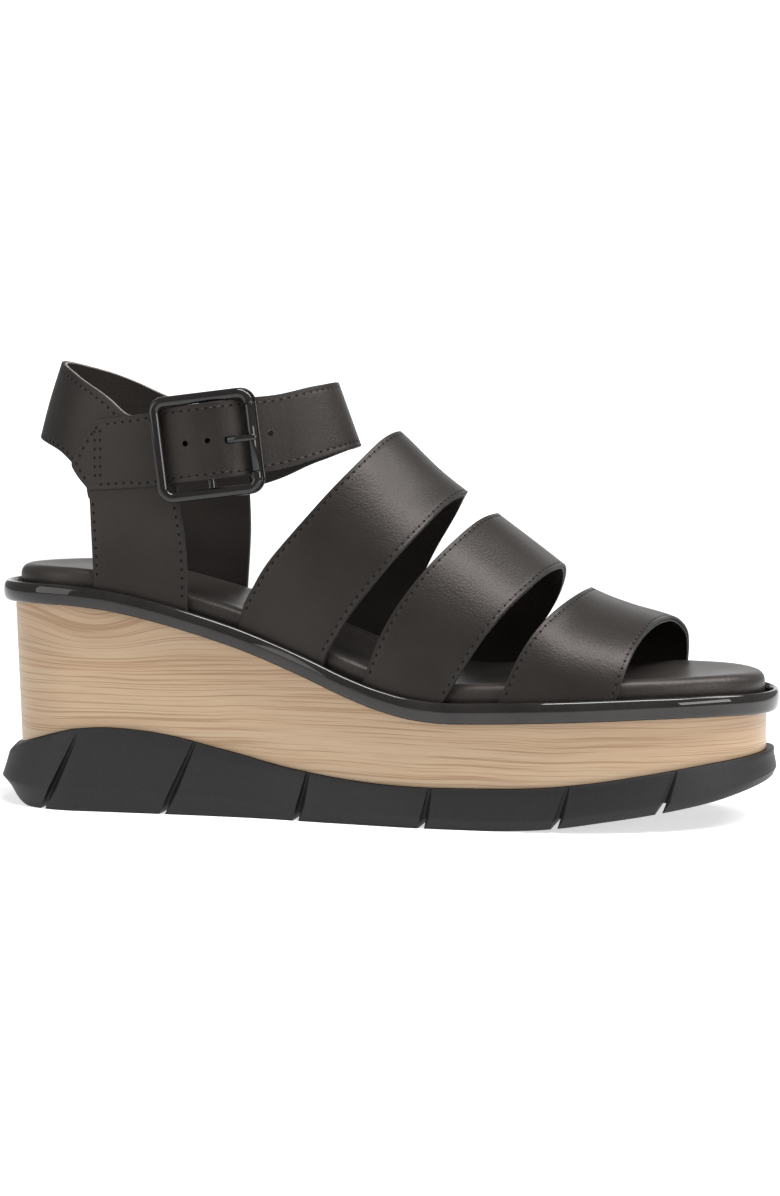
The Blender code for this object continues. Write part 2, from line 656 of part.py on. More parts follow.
def loop_path():
    """(along, height) of the strap's middle: forward on the quarter, over the bar and back."""
    path = [(-30, TAIL_LIFT), (-24, TAIL_LIFT), (-18, TAIL_LIFT), (-13, TAIL_LIFT), (-10.5, 1.9), (-8, 2.2),
            (-5.5, 2.9), (-3, 3.8), (-1.2, BAR_HEIGHT + LOOP_RADIUS - 0.12)]
    for step in range(LOOP_STEPS + 1):
        turn = math.pi * (0.5 - step / LOOP_STEPS)
        path.append((LOOP_RADIUS * math.cos(turn), BAR_HEIGHT + LOOP_RADIUS * math.sin(turn)))
    return path + [(-2.5, 0.72), (-5.0, 0.75), (-7.8, 0.8)]


def make_buckle_strap():
    tail_x = smooth([(-1, -42.6), (-0.5, -46.6), (-0.2, -48.0), (0.2, -46.3), (0.8, -41.0), (1, -38.0)])
    half = smooth([(-46, 10.6), (-34, 11.3), (-20, 12), (5, 12)])
    columns = 7
    points = []
    for along, height in loop_path():
        for c in range(columns):
            up = -1 + 2 * c / (columns - 1)
            points.append(on_strap(along, up * float(half(along)), height))
    tail = []
    for share in (1.0, 0.66, 0.33):
        for c in range(columns):
            up = -1 + 2 * c / (columns - 1)
            along = -30 + (float(tail_x(up)) + 30) * share
            tail.append(on_strap(along, up * float(half(along)), TAIL_LIFT))
    points = np.array(tail + points)
    faces = grid_faces(len(points) // columns, columns)
    obj = ply("buckle_strap", points, faces, -OUTER_PLY / 2, OUTER_PLY / 2)
    outline = [local(SLOT_LENGTH[0], s * SLOT_WIDTH / 2, 2.1) for s in (-1, 1)]
    outline += [local(SLOT_LENGTH[1], s * SLOT_WIDTH / 2, 2.1) for s in (1, -1)]
    boolean(obj, cutter("buckle_strap_slot", *prism(outline, OUT, 9.0)))
    return finish(obj, LEATHER, 0.42, smooth_angle=40)


# ---- the holed ankle strap ---------------------------------------------------------------------
ANKLE_LIFT = smooth([(-20, 2.55), (-15.2, 2.6), (-12, 2.75), (-8, 3.6), (-3, 4.95), (0, 5.35), (3.4, 5.7),
                     (6.6, 4.9), (10, 3.2), (13, 2.4), (15.2, 2.1), (22, 1.0), (32, 0.3)])
TIP_ALONG = -16.4
ANKLE_TOP = ((25, 140.6), (0, 141.9), (-25, 141.4), (-51, 138.8), (-74, 133.0), (-90, 128.6),
             (-104, 124.6))
ANKLE_LOW = ((25, 118.6), (0, 120.6), (-25, 119.6), (-51, 115.3), (-74, 108.2), (-90, 103.9),
             (-104, 100.4))
ANKLE_END_ANGLE = -104
ANKLE_END_LIFT = 1.4         # the inner end lies on the quarter
ANKLE_CLIMB_START = 8.0      # from here forward the strap turns up, mm along it
ANKLE_CLIMB = 0.004


def ankle_strap_sheet():
    """The inner face of the strap's lining, from its tip under the buckle to its inner end."""
    columns = 7
    rows = []
    for along in (TIP_ALONG, -15.4, -13.5, -11, -8.5, -6, -3, 0, 2, 3.6, 5, 6.6, 8.2, 10, 12.5, 16, 20, 24):
        pull = max(0.0, (-14.0 - along) / 3.5)
        half = ANKLE_WIDTH / 2 * (1 - 0.35 * pull**2)
        climb = ANKLE_CLIMB * max(0.0, along - ANKLE_CLIMB_START)**2
        lift = float(ANKLE_LIFT(along))
        ups = [half * (-1 + 2 * c / (columns - 1)) for c in range(columns)]
        rows.append([(*buckle_angle_z(along, up, climb), lift) for up in ups])
    first = rows[-1]
    reach = np.linspace(0, 1, 17)[1:]
    top = smooth([(-first[-1][0], first[-1][1])] + [(-a, z) for a, z in ANKLE_TOP])
    low = smooth([(-first[0][0], first[0][1])] + [(-a, z) for a, z in ANKLE_LOW])
    for share in reach:
        row = []
        for c in range(columns):
            up = c / (columns - 1)
            start = first[c][0]
            angle = start + (ANKLE_END_ANGLE - start) * share
            z = float(low(-angle)) * (1 - up) + float(top(-angle)) * up
            fade = np.clip(share / 0.25, 0, 1)
            lift = first[c][2] * (1 - fade) + 0.3 * fade
            seat = np.clip((-angle - 58) / 14, 0, 1)
            lift += (ANKLE_END_LIFT - 0.3) * float(seat**2 * (3 - 2 * seat))
            row.append((angle, z, lift))
        rows.append(row)
    points = np.array([lifted(*place) for row in rows for place in row])
    return points, grid_faces(len(rows), columns)


def hole_cutter(name, slack):
    """Round holes through the strap, the prong's drawn out into a slot."""
    pieces = []
    for along in HOLE_PLACES:
        radius = HOLE_RADIUS + slack
        reach = PRONG_SLOT / 2 if along == PRONG_HOLE else 0.0
        centre = on_strap(along, 0, float(ANKLE_LIFT(along)) + 1.0)
        outline = []
        for s in range(12):
            turn = 2 * math.pi * (s + 0.5) / 12
            shift = math.copysign(reach, math.cos(turn)) + radius * math.cos(turn)
            outline.append(centre + ALONG * shift + UP * radius * math.sin(turn))
        pieces.append(prism(outline, OUT, 4.5))
    return cutter(name, *merge(pieces))


def make_ankle_strap():
    points, faces = ankle_strap_sheet()
    outer = ply("ankle_strap", points, faces, LINING_PLY + PLY_GAP, LINING_PLY + PLY_GAP + OUTER_PLY)
    boolean(outer, hole_cutter("ankle_strap_holes", 0.0))
    finish(outer, LEATHER, 0.42, smooth_angle=40)
    lining = ply("ankle_strap_lining", points, faces, 0.0, LINING_PLY)
    boolean(lining, hole_cutter("ankle_lining_holes", 0.15))
    finish(lining, LINING, 0.6, smooth_angle=40)


# ---- the buckle --------------------------------------------------------------------------------
def frame_path():
    """(along, up) of the bent bar: upper shoulder, rail, left bar, lower rail, lower shoulder."""
    corner = 3.4
    shoulder = ROLLER_LENGTH / 2 + 0.25
    near, far = -LEFT_BAR, ROLLER_REACH
    path = [(far, shoulder)]
    corners = ((far, TOP_RAIL, 0), (near, TOP_RAIL, 90), (near, -LOW_RAIL, 180), (far, -LOW_RAIL, 270))
    for across, up, first in corners:
        middle_x = across - math.copysign(corner, across)
        middle_y = up - math.copysign(corner, up)
        for step in range(5):
            turn = math.radians(first + 90 * step / 4)
            path.append((middle_x + corner * math.cos(turn), middle_y + corner * math.sin(turn)))
    return path + [(far, -shoulder)]


def make_frame():
    """A bent bar, joined by the centre bar on its lugs, the roller's pin and a thin outer rim."""
    shoulder = ROLLER_LENGTH / 2 + 0.25
    path = [local(a, u, END_BAR_HEIGHT) for a, u in frame_path()]
    points, faces = tube(path, [FRAME_BAR / 2] * len(path), sides=10, axis=OUT)
    body = new_object("buckle_frame", points, faces, ORIGIN + OUT * BAR_HEIGHT)
    ends = [local(0, -LOW_RAIL - 0.6, BAR_HEIGHT), local(0, TOP_RAIL + 0.6, BAR_HEIGHT)]
    bar = tube(ends, [BAR_RADIUS] * 2, 12, axis=ALONG)
    boolean(body, cutter("centre_bar", *bar), "UNION")
    lugs = []
    for up in (TOP_RAIL, -LOW_RAIL):
        outline = [local(a, up, h) for a, h in
                   ((-2.4, END_BAR_HEIGHT), (-1.8, BAR_HEIGHT - 1.1), (-0.9, BAR_HEIGHT - 1.7),
                    (0.9, BAR_HEIGHT - 1.7), (1.8, BAR_HEIGHT - 1.1), (2.4, END_BAR_HEIGHT))]
        lugs.append(prism(outline, UP, 2.6))
    boolean(body, cutter("bar_lugs", *merge(lugs)), "UNION")
    ends = [local(ROLLER_REACH, side * (shoulder + 0.6), END_BAR_HEIGHT) for side in (-1, 1)]
    pin = tube(ends, [PIN_RADIUS] * 2, 10, axis=ALONG)
    boolean(body, cutter("roller_pin", *pin), "UNION")
    outside = ROLLER_REACH + ROLLER_RADIUS + 0.25 + RIM_RADIUS
    inside = ROLLER_REACH - 1.0
    rim_path = [(inside, TOP_RAIL - 1.6), (outside - 0.5, TOP_RAIL - 2.6), (outside, TOP_RAIL - 4.0),
                (outside, 4.0 - LOW_RAIL), (outside - 0.5, 2.6 - LOW_RAIL), (inside, 1.6 - LOW_RAIL)]
    rim_path = [local(a, u, END_BAR_HEIGHT) for a, u in rim_path]
    rim = tube(rim_path, [RIM_RADIUS] * len(rim_path), 8, axis=OUT)
    boolean(body, cutter("outer_rim", *rim), "UNION")
    return finish(body, ENAMEL, 0.15, metallic=0.3, coat=1.0, smooth_angle=45)


def make_roller():
    sides = 14
    rings = []
    for radius, end in ((ROLLER_BORE, -1), (ROLLER_RADIUS - 0.2, -1), (ROLLER_RADIUS, -0.97),
                        (ROLLER_RADIUS, 0.97), (ROLLER_RADIUS - 0.2, 1), (ROLLER_BORE, 1)):
        for s in range(sides):
            turn = 2 * math.pi * s / sides
            rings.append(local(ROLLER_REACH + radius * math.cos(turn), end * ROLLER_LENGTH / 2,
                               END_BAR_HEIGHT + radius * math.sin(turn)))
    faces = []
    for r in range(6):
        for s in range(sides):
            t = (s + 1) % sides
            faces.append((r * sides + s, r * sides + t, (r + 1) % 6 * sides + t, (r + 1) % 6 * sides + s))
    obj = new_object("buckle_roller", rings, faces, local(ROLLER_REACH, 0, END_BAR_HEIGHT))
    return finish(obj, ENAMEL, 0.15, metallic=0.3, coat=1.0, smooth_angle=45)


def make_prong():
    """A flat bar wrapped round the centre bar, then through the strap and onto the roller."""
    radius = BAR_RADIUS + 0.2 + PRONG_THICK / 2
    path = []
    for step in range(12):
        turn = math.radians(20 - 290 * step / 11)
        path.append((radius * math.cos(turn), BAR_HEIGHT + radius * math.sin(turn)))
    rest = END_BAR_HEIGHT + ROLLER_RADIUS + PRONG_THICK / 2 + 0.12
    path += [(2.5, 4.45), (4.3, 4.6), (5.5, 5.0), (6.7, 5.65), (8.1, 6.4), (9.8, 6.95), (12.5, rest - 0.06),
             (ROLLER_REACH, rest), (ROLLER_REACH + 1.5, rest - 0.2)]
    radii = [PRONG_THICK / 2] * (len(path) - 1) + [PRONG_THICK * 0.35]
    path = [local(a, 0, h) for a, h in path]
    points, faces = tube(path, radii, sides=8, flat=PRONG_WIDTH / PRONG_THICK, axis=UP)
    obj = new_object("buckle_prong", points, faces, ORIGIN + OUT * BAR_HEIGHT)
    return finish(obj, ENAMEL, 0.15, metallic=0.3, coat=1.0, smooth_angle=45)


# ---- the sandal --------------------------------------------------------------------------------
def centre_on_ground(objects):
    """Moves everything so that the origin is at the bottom centre of the whole bounding box."""
    bpy.context.view_layer.update()
    corners = np.array([obj.matrix_world @ v.co for obj in objects for v in obj.data.vertices])
    low, high = corners.min(axis=0), corners.max(axis=0)
    shift = Vector(((low[0] + high[0]) / 2, (low[1] + high[1]) / 2, low[2]))
    for obj in bpy.data.objects:
        obj.location -= shift
    print("shift_m", [round(float(v), 6) for v in shift])
    print("size_m", [round(float(v), 6) for v in high - low])
    for label, point in (("centre_bar", local(0, 0, BAR_HEIGHT)),
                         ("roller", local(ROLLER_REACH, 0, END_BAR_HEIGHT))):
        print(label, [round(float(v), 6) for v in Vector(point) * MM - shift])
    print("bar_axis", [round(float(v), 6) for v in UP])


def main():
    for obj in list(bpy.data.objects):
        bpy.data.objects.remove(obj)
    make_outsole()
    make_wedge()
    make_welt()
    make_filler()
    make_board()
    make_foam()
    make_cover()
    make_straps()
    make_quarter()
    make_buckle_strap()
    make_ankle_strap()
    make_frame()
    make_roller()
    make_prong()
    centre_on_ground([obj for obj in bpy.data.objects if not obj.hide_render])


main()
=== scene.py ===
"""Looks of the wedge sandal: stitched leather straps, padded footbed, patent welt, wood-grain
wedge, grooved rubber outsole and an enamelled roller buckle, on a pale studio floor.

Shapes are written in design millimetres: x from the back of the heel to the toe, y to the inner
side of the foot, z up from the ground. world() takes them to the frame's metres.
"""
import math

import bmesh
import bpy
import numpy as np
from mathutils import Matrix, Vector, noise
from mathutils.bvhtree import BVHTree
from mathutils.kdtree import KDTree

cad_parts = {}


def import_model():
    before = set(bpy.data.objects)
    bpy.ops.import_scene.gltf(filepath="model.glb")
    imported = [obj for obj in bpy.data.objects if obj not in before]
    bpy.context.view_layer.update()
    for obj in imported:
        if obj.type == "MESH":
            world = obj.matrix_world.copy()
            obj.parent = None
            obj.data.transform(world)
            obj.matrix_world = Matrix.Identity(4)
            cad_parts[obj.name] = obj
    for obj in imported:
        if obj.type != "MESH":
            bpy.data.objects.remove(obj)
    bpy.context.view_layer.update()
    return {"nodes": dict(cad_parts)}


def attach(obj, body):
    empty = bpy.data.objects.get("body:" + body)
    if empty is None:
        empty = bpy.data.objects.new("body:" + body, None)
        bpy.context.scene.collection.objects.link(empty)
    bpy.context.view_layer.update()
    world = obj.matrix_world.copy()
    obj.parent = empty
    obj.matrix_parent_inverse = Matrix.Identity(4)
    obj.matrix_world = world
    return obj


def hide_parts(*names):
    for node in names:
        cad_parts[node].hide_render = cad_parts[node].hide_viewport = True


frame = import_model()

MM = 0.001
DESIGN_ORIGIN = np.array([132.513, -1.508, 0.0])   # the frame's origin in design millimetres

# ---- driving dimensions, mm, as in the frame ---------------------------------------------------
HEEL_X, TOE_X = 7.5, 260.3
HEEL_RADIUS = 28.0
TOE_RUN_OUTER, TOE_RUN_INNER, TOE_POWER, TOE_SHIFT = 56.0, 44.5, 2.3, 5.0
STATIONS = 150

OUTER_PLY = 1.0
PLY_GAP = 0.12               # air between the plies of a strap
LINING_PLY = 0.8
FLANGE = 1.6
MARGIN_LEVEL = 3.0
BED_TOP = 11.8
STRAP_STANDOFF = 1.6
LASTED = 9.0

BUCKLE_X, BUCKLE_Z = 81.6, 122.6
BUCKLE_PITCH = math.radians(7.0)
ANKLE_WIDTH = 24.0
BAR_RADIUS = 1.1
BAR_HEIGHT = 2.5
END_BAR_HEIGHT = 5.15
ROLLER_REACH = 15.2
LEFT_BAR = 15.9
TOP_RAIL, LOW_RAIL = 14.8, 16.5
ROLLER_RADIUS = 1.45
ROLLER_LENGTH = 22.0
HOLE_PLACES = (-6.4, 0.7, 7.5, 13.4, 19.4)
HOLE_RISE = 0.6              # holes above the strap's middle line
PRONG_HOLE = 7.5
HOLE_RADIUS, HOLE_SIDES = 0.95, 20
HOLE_TOOL_LENGTH = 5.0
SLOT_REACH, SLOT_HALF = 1.0, 1.35   # the prong's hole is drawn out along the strap

STITCH_PITCH = 2.9
NARROW_INSET = 1.7           # seams of the two buckled straps, in from their edges


def world(point):
    return (np.asarray(point, float) - DESIGN_ORIGIN) * MM


# ---- curves and the outline --------------------------------------------------------------------
def smooth(points):
    """A cubic through the points that doesn't overshoot them."""
    xs = np.array([p[0] for p in points], float)
    ys = np.array([p[1] for p in points], float)
    steps = np.diff(xs)
    slopes = np.diff(ys) / steps
    tangents = np.zeros(len(xs))
    tangents[0], tangents[-1] = slopes[0], slopes[-1]
    for i in range(1, len(xs) - 1):
        if slopes[i - 1] * slopes[i] > 0:
            tangents[i] = 2 * slopes[i - 1] * slopes[i] / (slopes[i - 1] + slopes[i])

    def value(x):
        x = np.clip(np.asarray(x, float), xs[0], xs[-1])
        i = np.clip(np.searchsorted(xs, x) - 1, 0, len(xs) - 2)
        t = (x - xs[i]) / steps[i]
        return ((2 * t**3 - 3 * t**2 + 1) * ys[i] + (t**3 - 2 * t**2 + t) * steps[i] * tangents[i]
                + (3 * t**2 - 2 * t**3) * ys[i + 1] + (t**3 - t**2) * steps[i] * tangents[i + 1])
    return value


def between(first, last, share):
    return first * (1 - share) + last * share


def ease(share):
    share = np.clip(share, 0, 1)
    return share**2 * (3 - 2 * share)


HALF_OUTER = smooth([(0, 28), (29, 28.5), (58, 29), (92, 30.5), (126, 36), (160, 40.5), (193, 41),
                     (227, 37.5), (262, 33)])
HALF_INNER = smooth([(0, 28), (29, 28), (58, 26.5), (92, 26), (126, 31), (160, 37), (193, 38),
                     (227, 35.5), (262, 32)])
SOLE_TOP = smooth([(0, 18.5), (8, 20), (21, 23.8), (29, 26.1), (36, 27.5), (46, 28.1), (56, 27.6),
                   (69, 25.9), (82, 23), (92, 20.8), (105, 17.8), (118, 15.7), (130, 14.2),
                   (142, 13.3), (156, 13), (177, 13.3), (192, 13.9), (203, 15), (214, 16.4),
                   (225, 18.1), (247, 21.4), (264, 23.2)])
SOLE_BOTTOM = smooth([(0, 0), (175, 0), (190, 0.6), (200, 1.6), (212, 3.4), (228, 5.8),
                      (247, 9.3), (257, 12), (265, 14.5)])
WEDGE_TOP = smooth([(0, 69.4), (20, 69.5), (30, 69.3), (43, 68.2), (56, 66.0), (69, 62.9),
                    (82, 59.3), (93, 55.9), (105, 51.6), (118, 46.6), (130, 41.6), (142, 37.6),
                    (154, 35.1), (164, 34.4), (180, 34.8), (198, 35.5), (214, 36.2), (231, 36.8),
                    (247, 37), (264, 36.2)])


def centre_y(x):
    return TOE_SHIFT * np.clip((np.asarray(x, float) - 145.0) / (TOE_X - 145.0), 0, 1)**2


def edge_y(x, side, offset=0.0, heel=None, toe=None):
    """y of the footbed's outline grown by offset, on the outer (-1) or the inner (+1) side."""
    heel = offset if heel is None else heel
    toe = offset if toe is None else toe
    x = np.asarray(x, float)
    side = np.asarray(side, float)
    heel_run = HEEL_RADIUS + heel
    toe_run = np.where(side < 0, TOE_RUN_OUTER, TOE_RUN_INNER) + toe
    back = np.clip((HEEL_X - heel + heel_run - x) / heel_run, 0, 1)
    front = np.clip((x - (TOE_X + toe - toe_run)) / toe_run, 0, 1)
    closing = np.sqrt(1 - back**2) * (1 - front**TOE_POWER)**(1 / TOE_POWER)
    middle = centre_y(x)
    half = np.where(side < 0, HALF_OUTER(x) + middle, HALF_INNER(x) - middle)
    return middle + side * (half + offset) * closing


def ring(offset, height, heel=None, toe=None):
    """A closed outline: heel tip, outer side, toe tip, inner side. height is a function of x."""
    heel = offset if heel is None else heel
    toe = offset if toe is None else toe
    start, end = HEEL_X - heel, TOE_X + toe
    turn = math.pi * np.arange(STATIONS) / (STATIONS - 1)
    x = start + (end - start) * (1 - np.cos(turn)) / 2
    outer = np.stack([x, edge_y(x, -1, offset, heel, toe), height(x)], 1)
    inner = np.stack([x, edge_y(x, 1, offset, heel, toe), height(x)], 1)
    return np.vstack([outer, inner[-2:0:-1]])


def above(base, rise):
    return lambda x: base(x) + rise


def circle(sides, shift=0.5):
    """Cosine and sine at even steps all the way round; shift is a share of one step."""
    turns = [2 * math.pi * (side + shift) / sides for side in range(sides)]
    return [(math.cos(turn), math.sin(turn)) for turn in turns]


def arc(first, last, steps):
    """Cosine and sine at even steps from first to last, in degrees."""
    turns = [math.radians(first + (last - first) * step / steps) for step in range(steps + 1)]
    return [(math.cos(turn), math.sin(turn)) for turn in turns]


# ---- meshes ------------------------------------------------------------------------------------
def linked(name, data):
    obj = bpy.data.objects.new(name, data)
    bpy.context.scene.collection.objects.link(obj)
    return obj


def mesh_from(name, points, faces):
    mesh = bpy.data.meshes.new(name)
    mesh.from_pydata([tuple(p) for p in world(np.asarray(points))], [], faces)
    return mesh


def face_outward(mesh):
    """Turns every face outward, also where a thin shell came out inside out."""
    bm = bmesh.new()
    bm.from_mesh(mesh)
    bmesh.ops.recalc_face_normals(bm, faces=bm.faces)
    if all(edge.is_manifold for edge in bm.edges) and bm.calc_volume(signed=True) < 0:
        bmesh.ops.reverse_faces(bm, faces=bm.faces)
    bm.to_mesh(mesh)
    bm.free()


def new_piece(name, points, faces, materials, body="sandal", replaces=(), slot=None, rims=None,
              smooth_angle=40):
    """A piece from points in design millimetres. rims gives each face's place in materials."""
    mesh = mesh_from(name, points, faces)
    for made in materials:
        mesh.materials.append(made)
    if rims is not None:
        mesh.polygons.foreach_set("material_index", rims)
    face_outward(mesh)
    mesh.shade_smooth()
    mesh.set_sharp_from_angle(angle=math.radians(smooth_angle))
    obj = linked(name, mesh)
    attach(obj, body)
    if replaces:
        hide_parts(*replaces)
    return obj


def cutter(name, points, faces):
    """A hidden shape for a Boolean, baked away with bake()."""
    mesh = mesh_from(name, points, faces)
    face_outward(mesh)
    return linked(name, mesh)


def cut(obj, tools):
    """Cuts the tools out of obj for good, and removes them."""
    for tool in tools:
        modifier = obj.modifiers.new(tool.name, "BOOLEAN")
        modifier.operation = "DIFFERENCE"
        modifier.solver = "EXACT"
        modifier.object = tool
    bake(obj)
    for tool in tools:
        bpy.data.objects.remove(tool)
    obj.data.shade_smooth()
    obj.data.set_sharp_from_angle(angle=math.radians(35))


def bake(obj):
    """Puts what the modifiers make into the mesh."""
    bpy.context.view_layer.update()
    depsgraph = bpy.context.evaluated_depsgraph_get()
    made = bpy.data.meshes.new_from_object(obj.evaluated_get(depsgraph))
    obj.modifiers.clear()
    obj.data = made


def cap_faces(start):
    """Strips across one ring, from its outer side to the same stations on its inner side."""
    def partner(i):
        return start + (2 * STATIONS - 2 - i) % (2 * STATIONS - 2)
    last = STATIONS - 1
    faces = [(start, start + 1, partner(1)), (start + last, partner(last - 1), start + last - 1)]
    faces += [(start + i, start + i + 1, partner(i + 1), partner(i)) for i in range(1, last - 1)]
    return faces


def wall_faces(rows, count, closed=False):
    """Quads between rows of points that each run all the way round.

    closed also joins the last row to the first."""
    faces = []
    for row in range(rows if closed else rows - 1):
        a, b = row * count, (row + 1) % rows * count
        for i in range(count):
            j = (i + 1) % count
            faces.append((a + i, a + j, b + j, b + i))
    return faces


def stack(rings, closed=False):
    """Points and faces between outline rings: capped at both ends, or closed like a tyre."""
    count = len(rings[0])
    faces = wall_faces(len(rings), count, closed)
    if not closed:
        faces += cap_faces(0) + cap_faces((len(rings) - 1) * count)
    return np.vstack(rings), faces


def grid_faces(rows, columns, start=0):
    return [(start + r * columns + c, start + r * columns + c + 1,
             start + (r + 1) * columns + c + 1, start + (r + 1) * columns + c)
            for r in range(rows - 1) for c in range(columns - 1)]


def prism(outline, direction, length):
    """Points and faces of a flat outline pushed along a direction, centred on the outline."""
    half = np.asarray(direction, float) * length / 2
    outline = np.asarray(outline, float)
    count = len(outline)
    faces = [tuple(range(count)), tuple(range(2 * count - 1, count - 1, -1))]
    return np.vstack([outline - half, outline + half]), faces + wall_faces(2, count)


def sheet_normals(points, faces):
    """Unit normals of an open sheet at its points, away from the middle of what it wraps."""
    quads = np.array(faces)
    corners = points[quads]
    crosses = np.cross(corners[:, 2] - corners[:, 0], corners[:, 3] - corners[:, 1])
    normals = np.zeros_like(points)
    for i in range(4):
        np.add.at(normals, quads[:, i], crosses)
    flip = ((points - points.mean(axis=0)) * normals).sum() < 0
    if flip:
        normals = -normals
    return normals / np.linalg.norm(normals, axis=1)[:, None], flip


def rim_loops(faces):
    """The open sheet's edges as loops of point numbers, with the sheet on their left."""
    inside = set()
    for face in faces:
        for a, b in zip(face, face[1:] + face[:1]):
            inside.add((a, b))
    following = {a: b for a, b in inside if (b, a) not in inside}
    loops = []
    while following:
        first = next(iter(following))
        loop = [first]
        place = following.pop(first)
        while place != first:
            loop.append(place)
            place = following.pop(place)
        loops.append(loop)
    return loops


RIM_STEPS = 6
RIM_SQUARENESS = 0.8         # 1 is a half round, less is squarer


def squared(value, power):
    """A power that keeps the sign."""
    return math.copysign(abs(value)**power, value)


def thicken(points, faces, low, high):
    """A sheet of leather between two distances along the normals, with softly rounded edges.

    Gives points, faces, and for each face 1 on the cut edge and 0 on the faces of the sheet."""
    faces = [tuple(f) for f in faces]
    normals, flip = sheet_normals(points, faces)
    if flip:
        faces = [tuple(reversed(f)) for f in faces]
    count = len(points)
    middle, half = (low + high) / 2, (high - low) / 2
    inset = 0.7 * half
    outer = points + normals * high
    inner = points + normals * low
    solid = [outer, inner]
    shell = [tuple(f) for f in faces] + [tuple(i + count for i in reversed(f)) for f in faces]
    rims = [0] * len(shell)
    size = 2 * count
    for loop in rim_loops(faces):
        around = points[loop]
        ahead = np.roll(around, -1, 0) - np.roll(around, 1, 0)
        ahead /= np.linalg.norm(ahead, axis=1)[:, None]
        outward = np.cross(ahead, normals[loop])
        outer[loop] = around + normals[loop] * high - outward * inset
        inner[loop] = around + normals[loop] * low - outward * inset
        rows = [list(loop)]
        for step in range(1, RIM_STEPS):
            turn = math.pi * step / RIM_STEPS
            rise = squared(math.cos(turn), RIM_SQUARENESS) * half
            reach = (math.sin(turn)**RIM_SQUARENESS - 1) * inset
            solid.append(around + normals[loop] * (middle + rise) + outward * reach)
            rows.append(list(range(size, size + len(loop))))
            size += len(loop)
        rows.append([i + count for i in loop])
        for upper, lower in zip(rows, rows[1:]):
            for i in range(len(loop)):
                j = (i + 1) % len(loop)
                shell.append((upper[j], upper[i], lower[i], lower[j]))
                rims.append(1)
    return np.vstack(solid), shell, rims


def tree_of(points):
    tree = KDTree(len(points))
    for number, place in enumerate(points):
        tree.insert(Vector(place), number)
    tree.balance()
    return tree


def press(points, normals, lines, depth, width):
    """Sinks the points of a sheet near the lines, as thread pulls leather down."""
    tree = tree_of([place for line in lines for place in line])
    away = np.array([tree.find(Vector(p))[2] for p in points])
    share = np.clip(1 - (away / width)**2, 0, 1)**2
    return points - normals * (depth * share)[:, None]


def lift_lines(points, normals, lines, height):
    """The lines moved out along the sheet's normals, so that they find its outer face."""
    tree = tree_of(points)
    return [np.array([place + normals[tree.find(Vector(place))[1]] * height for place in line])
            for line in lines]


def along_line(line, pitch):
    """Places and directions every pitch along a line of points."""
    line = np.asarray(line, float)
    lengths = np.linalg.norm(np.diff(line, axis=0), axis=1)
    total = np.concatenate([[0], np.cumsum(lengths)])
    count = max(1, int(total[-1] // pitch))
    reach = (np.arange(count) + 0.5) * pitch

    def at(distance):
        return np.stack([np.interp(distance, total, line[:, k]) for k in range(3)], 1)
    directions = at(reach + 0.3) - at(reach - 0.3)
    return at(reach), directions / np.linalg.norm(directions, axis=1)[:, None]


THREAD_RADIUS = 0.2
THREAD_LENGTH = 2.0
THREAD_SINK = 0.1
THREAD_DIVE = 0.3            # how much deeper its ends are than its middle
NEEDLE_RADIUS, NEEDLE_SIDES = 0.52, 8
NEEDLE_RISE, NEEDLE_RIM_RISE = 0.09, 0.04
SINK, SINK_REACH = 0.1, 0.8  # how far a seam pulls the leather down, and how far to each side


def on_surface(tree, place, ahead):
    """The nearest place on a surface, with its normal and two directions along it."""
    found, normal, _, _ = tree.find_nearest(Vector(world(place)))
    normal = np.array(normal)
    ahead = ahead - normal * (ahead @ normal)
    ahead /= np.linalg.norm(ahead)
    return np.array(found) / MM + DESIGN_ORIGIN, normal, ahead, np.cross(ahead, normal)


def thread(tree, place, direction):
    """One short thread, diving into the leather at both ends."""
    base, normal, ahead, sideways = on_surface(tree, place, direction)
    path, radii = [], []
    for share in np.linspace(-1, 1, 7):
        sink = THREAD_SINK + THREAD_DIVE * share**4
        path.append(base + ahead * share * THREAD_LENGTH / 2 - normal * sink)
        radii.append(THREAD_RADIUS * (1 - 0.5 * share**4))
    return tube(path, radii, sides=6, axis=sideways)


def painted_needle_hole_shade(tree, place, direction):
    """A near-black shallow disc where the thread goes in: painted shade standing in for the needle
    hole.
    """
    base, normal, ahead, sideways = on_surface(tree, place, direction)
    points = [base + normal * NEEDLE_RISE]
    for cosine, sine in circle(NEEDLE_SIDES, 0):
        rim = ahead * cosine + sideways * sine * 0.9
        points.append(base + rim * NEEDLE_RADIUS + normal * NEEDLE_RIM_RISE)
    return points, [(0, 1 + s, 1 + (s + 1) % NEEDLE_SIDES) for s in range(NEEDLE_SIDES)]


def stitches(name, obj, lines):
    """A seam along each line, lying on obj's surface: threads with near-black discs of painted
    needle-hole shade between them.
    """
    tree = surface_of(obj)
    shapes, rims = [], []
    for line in lines:
        for place, direction in zip(*along_line(line, STITCH_PITCH)):
            shapes.append(thread(tree, place, direction))
            rims += [0] * len(shapes[-1][1])
            # the second material is painted shade: a near-black disc in place of a real needle hole
            shapes.append(painted_needle_hole_shade(tree, place + direction * STITCH_PITCH / 2, direction))
            rims += [1] * len(shapes[-1][1])
    points, faces = merge(shapes)
    return new_piece(name, points, faces, [THREAD, NEEDLE_HOLE_SHADE], slot="upper_leather", rims=rims)


def surface_of(obj):
    mesh = obj.data
    return BVHTree.FromPolygons([tuple(obj.matrix_world @ v.co) for v in mesh.vertices],
                                [tuple(p.vertices) for p in mesh.polygons])


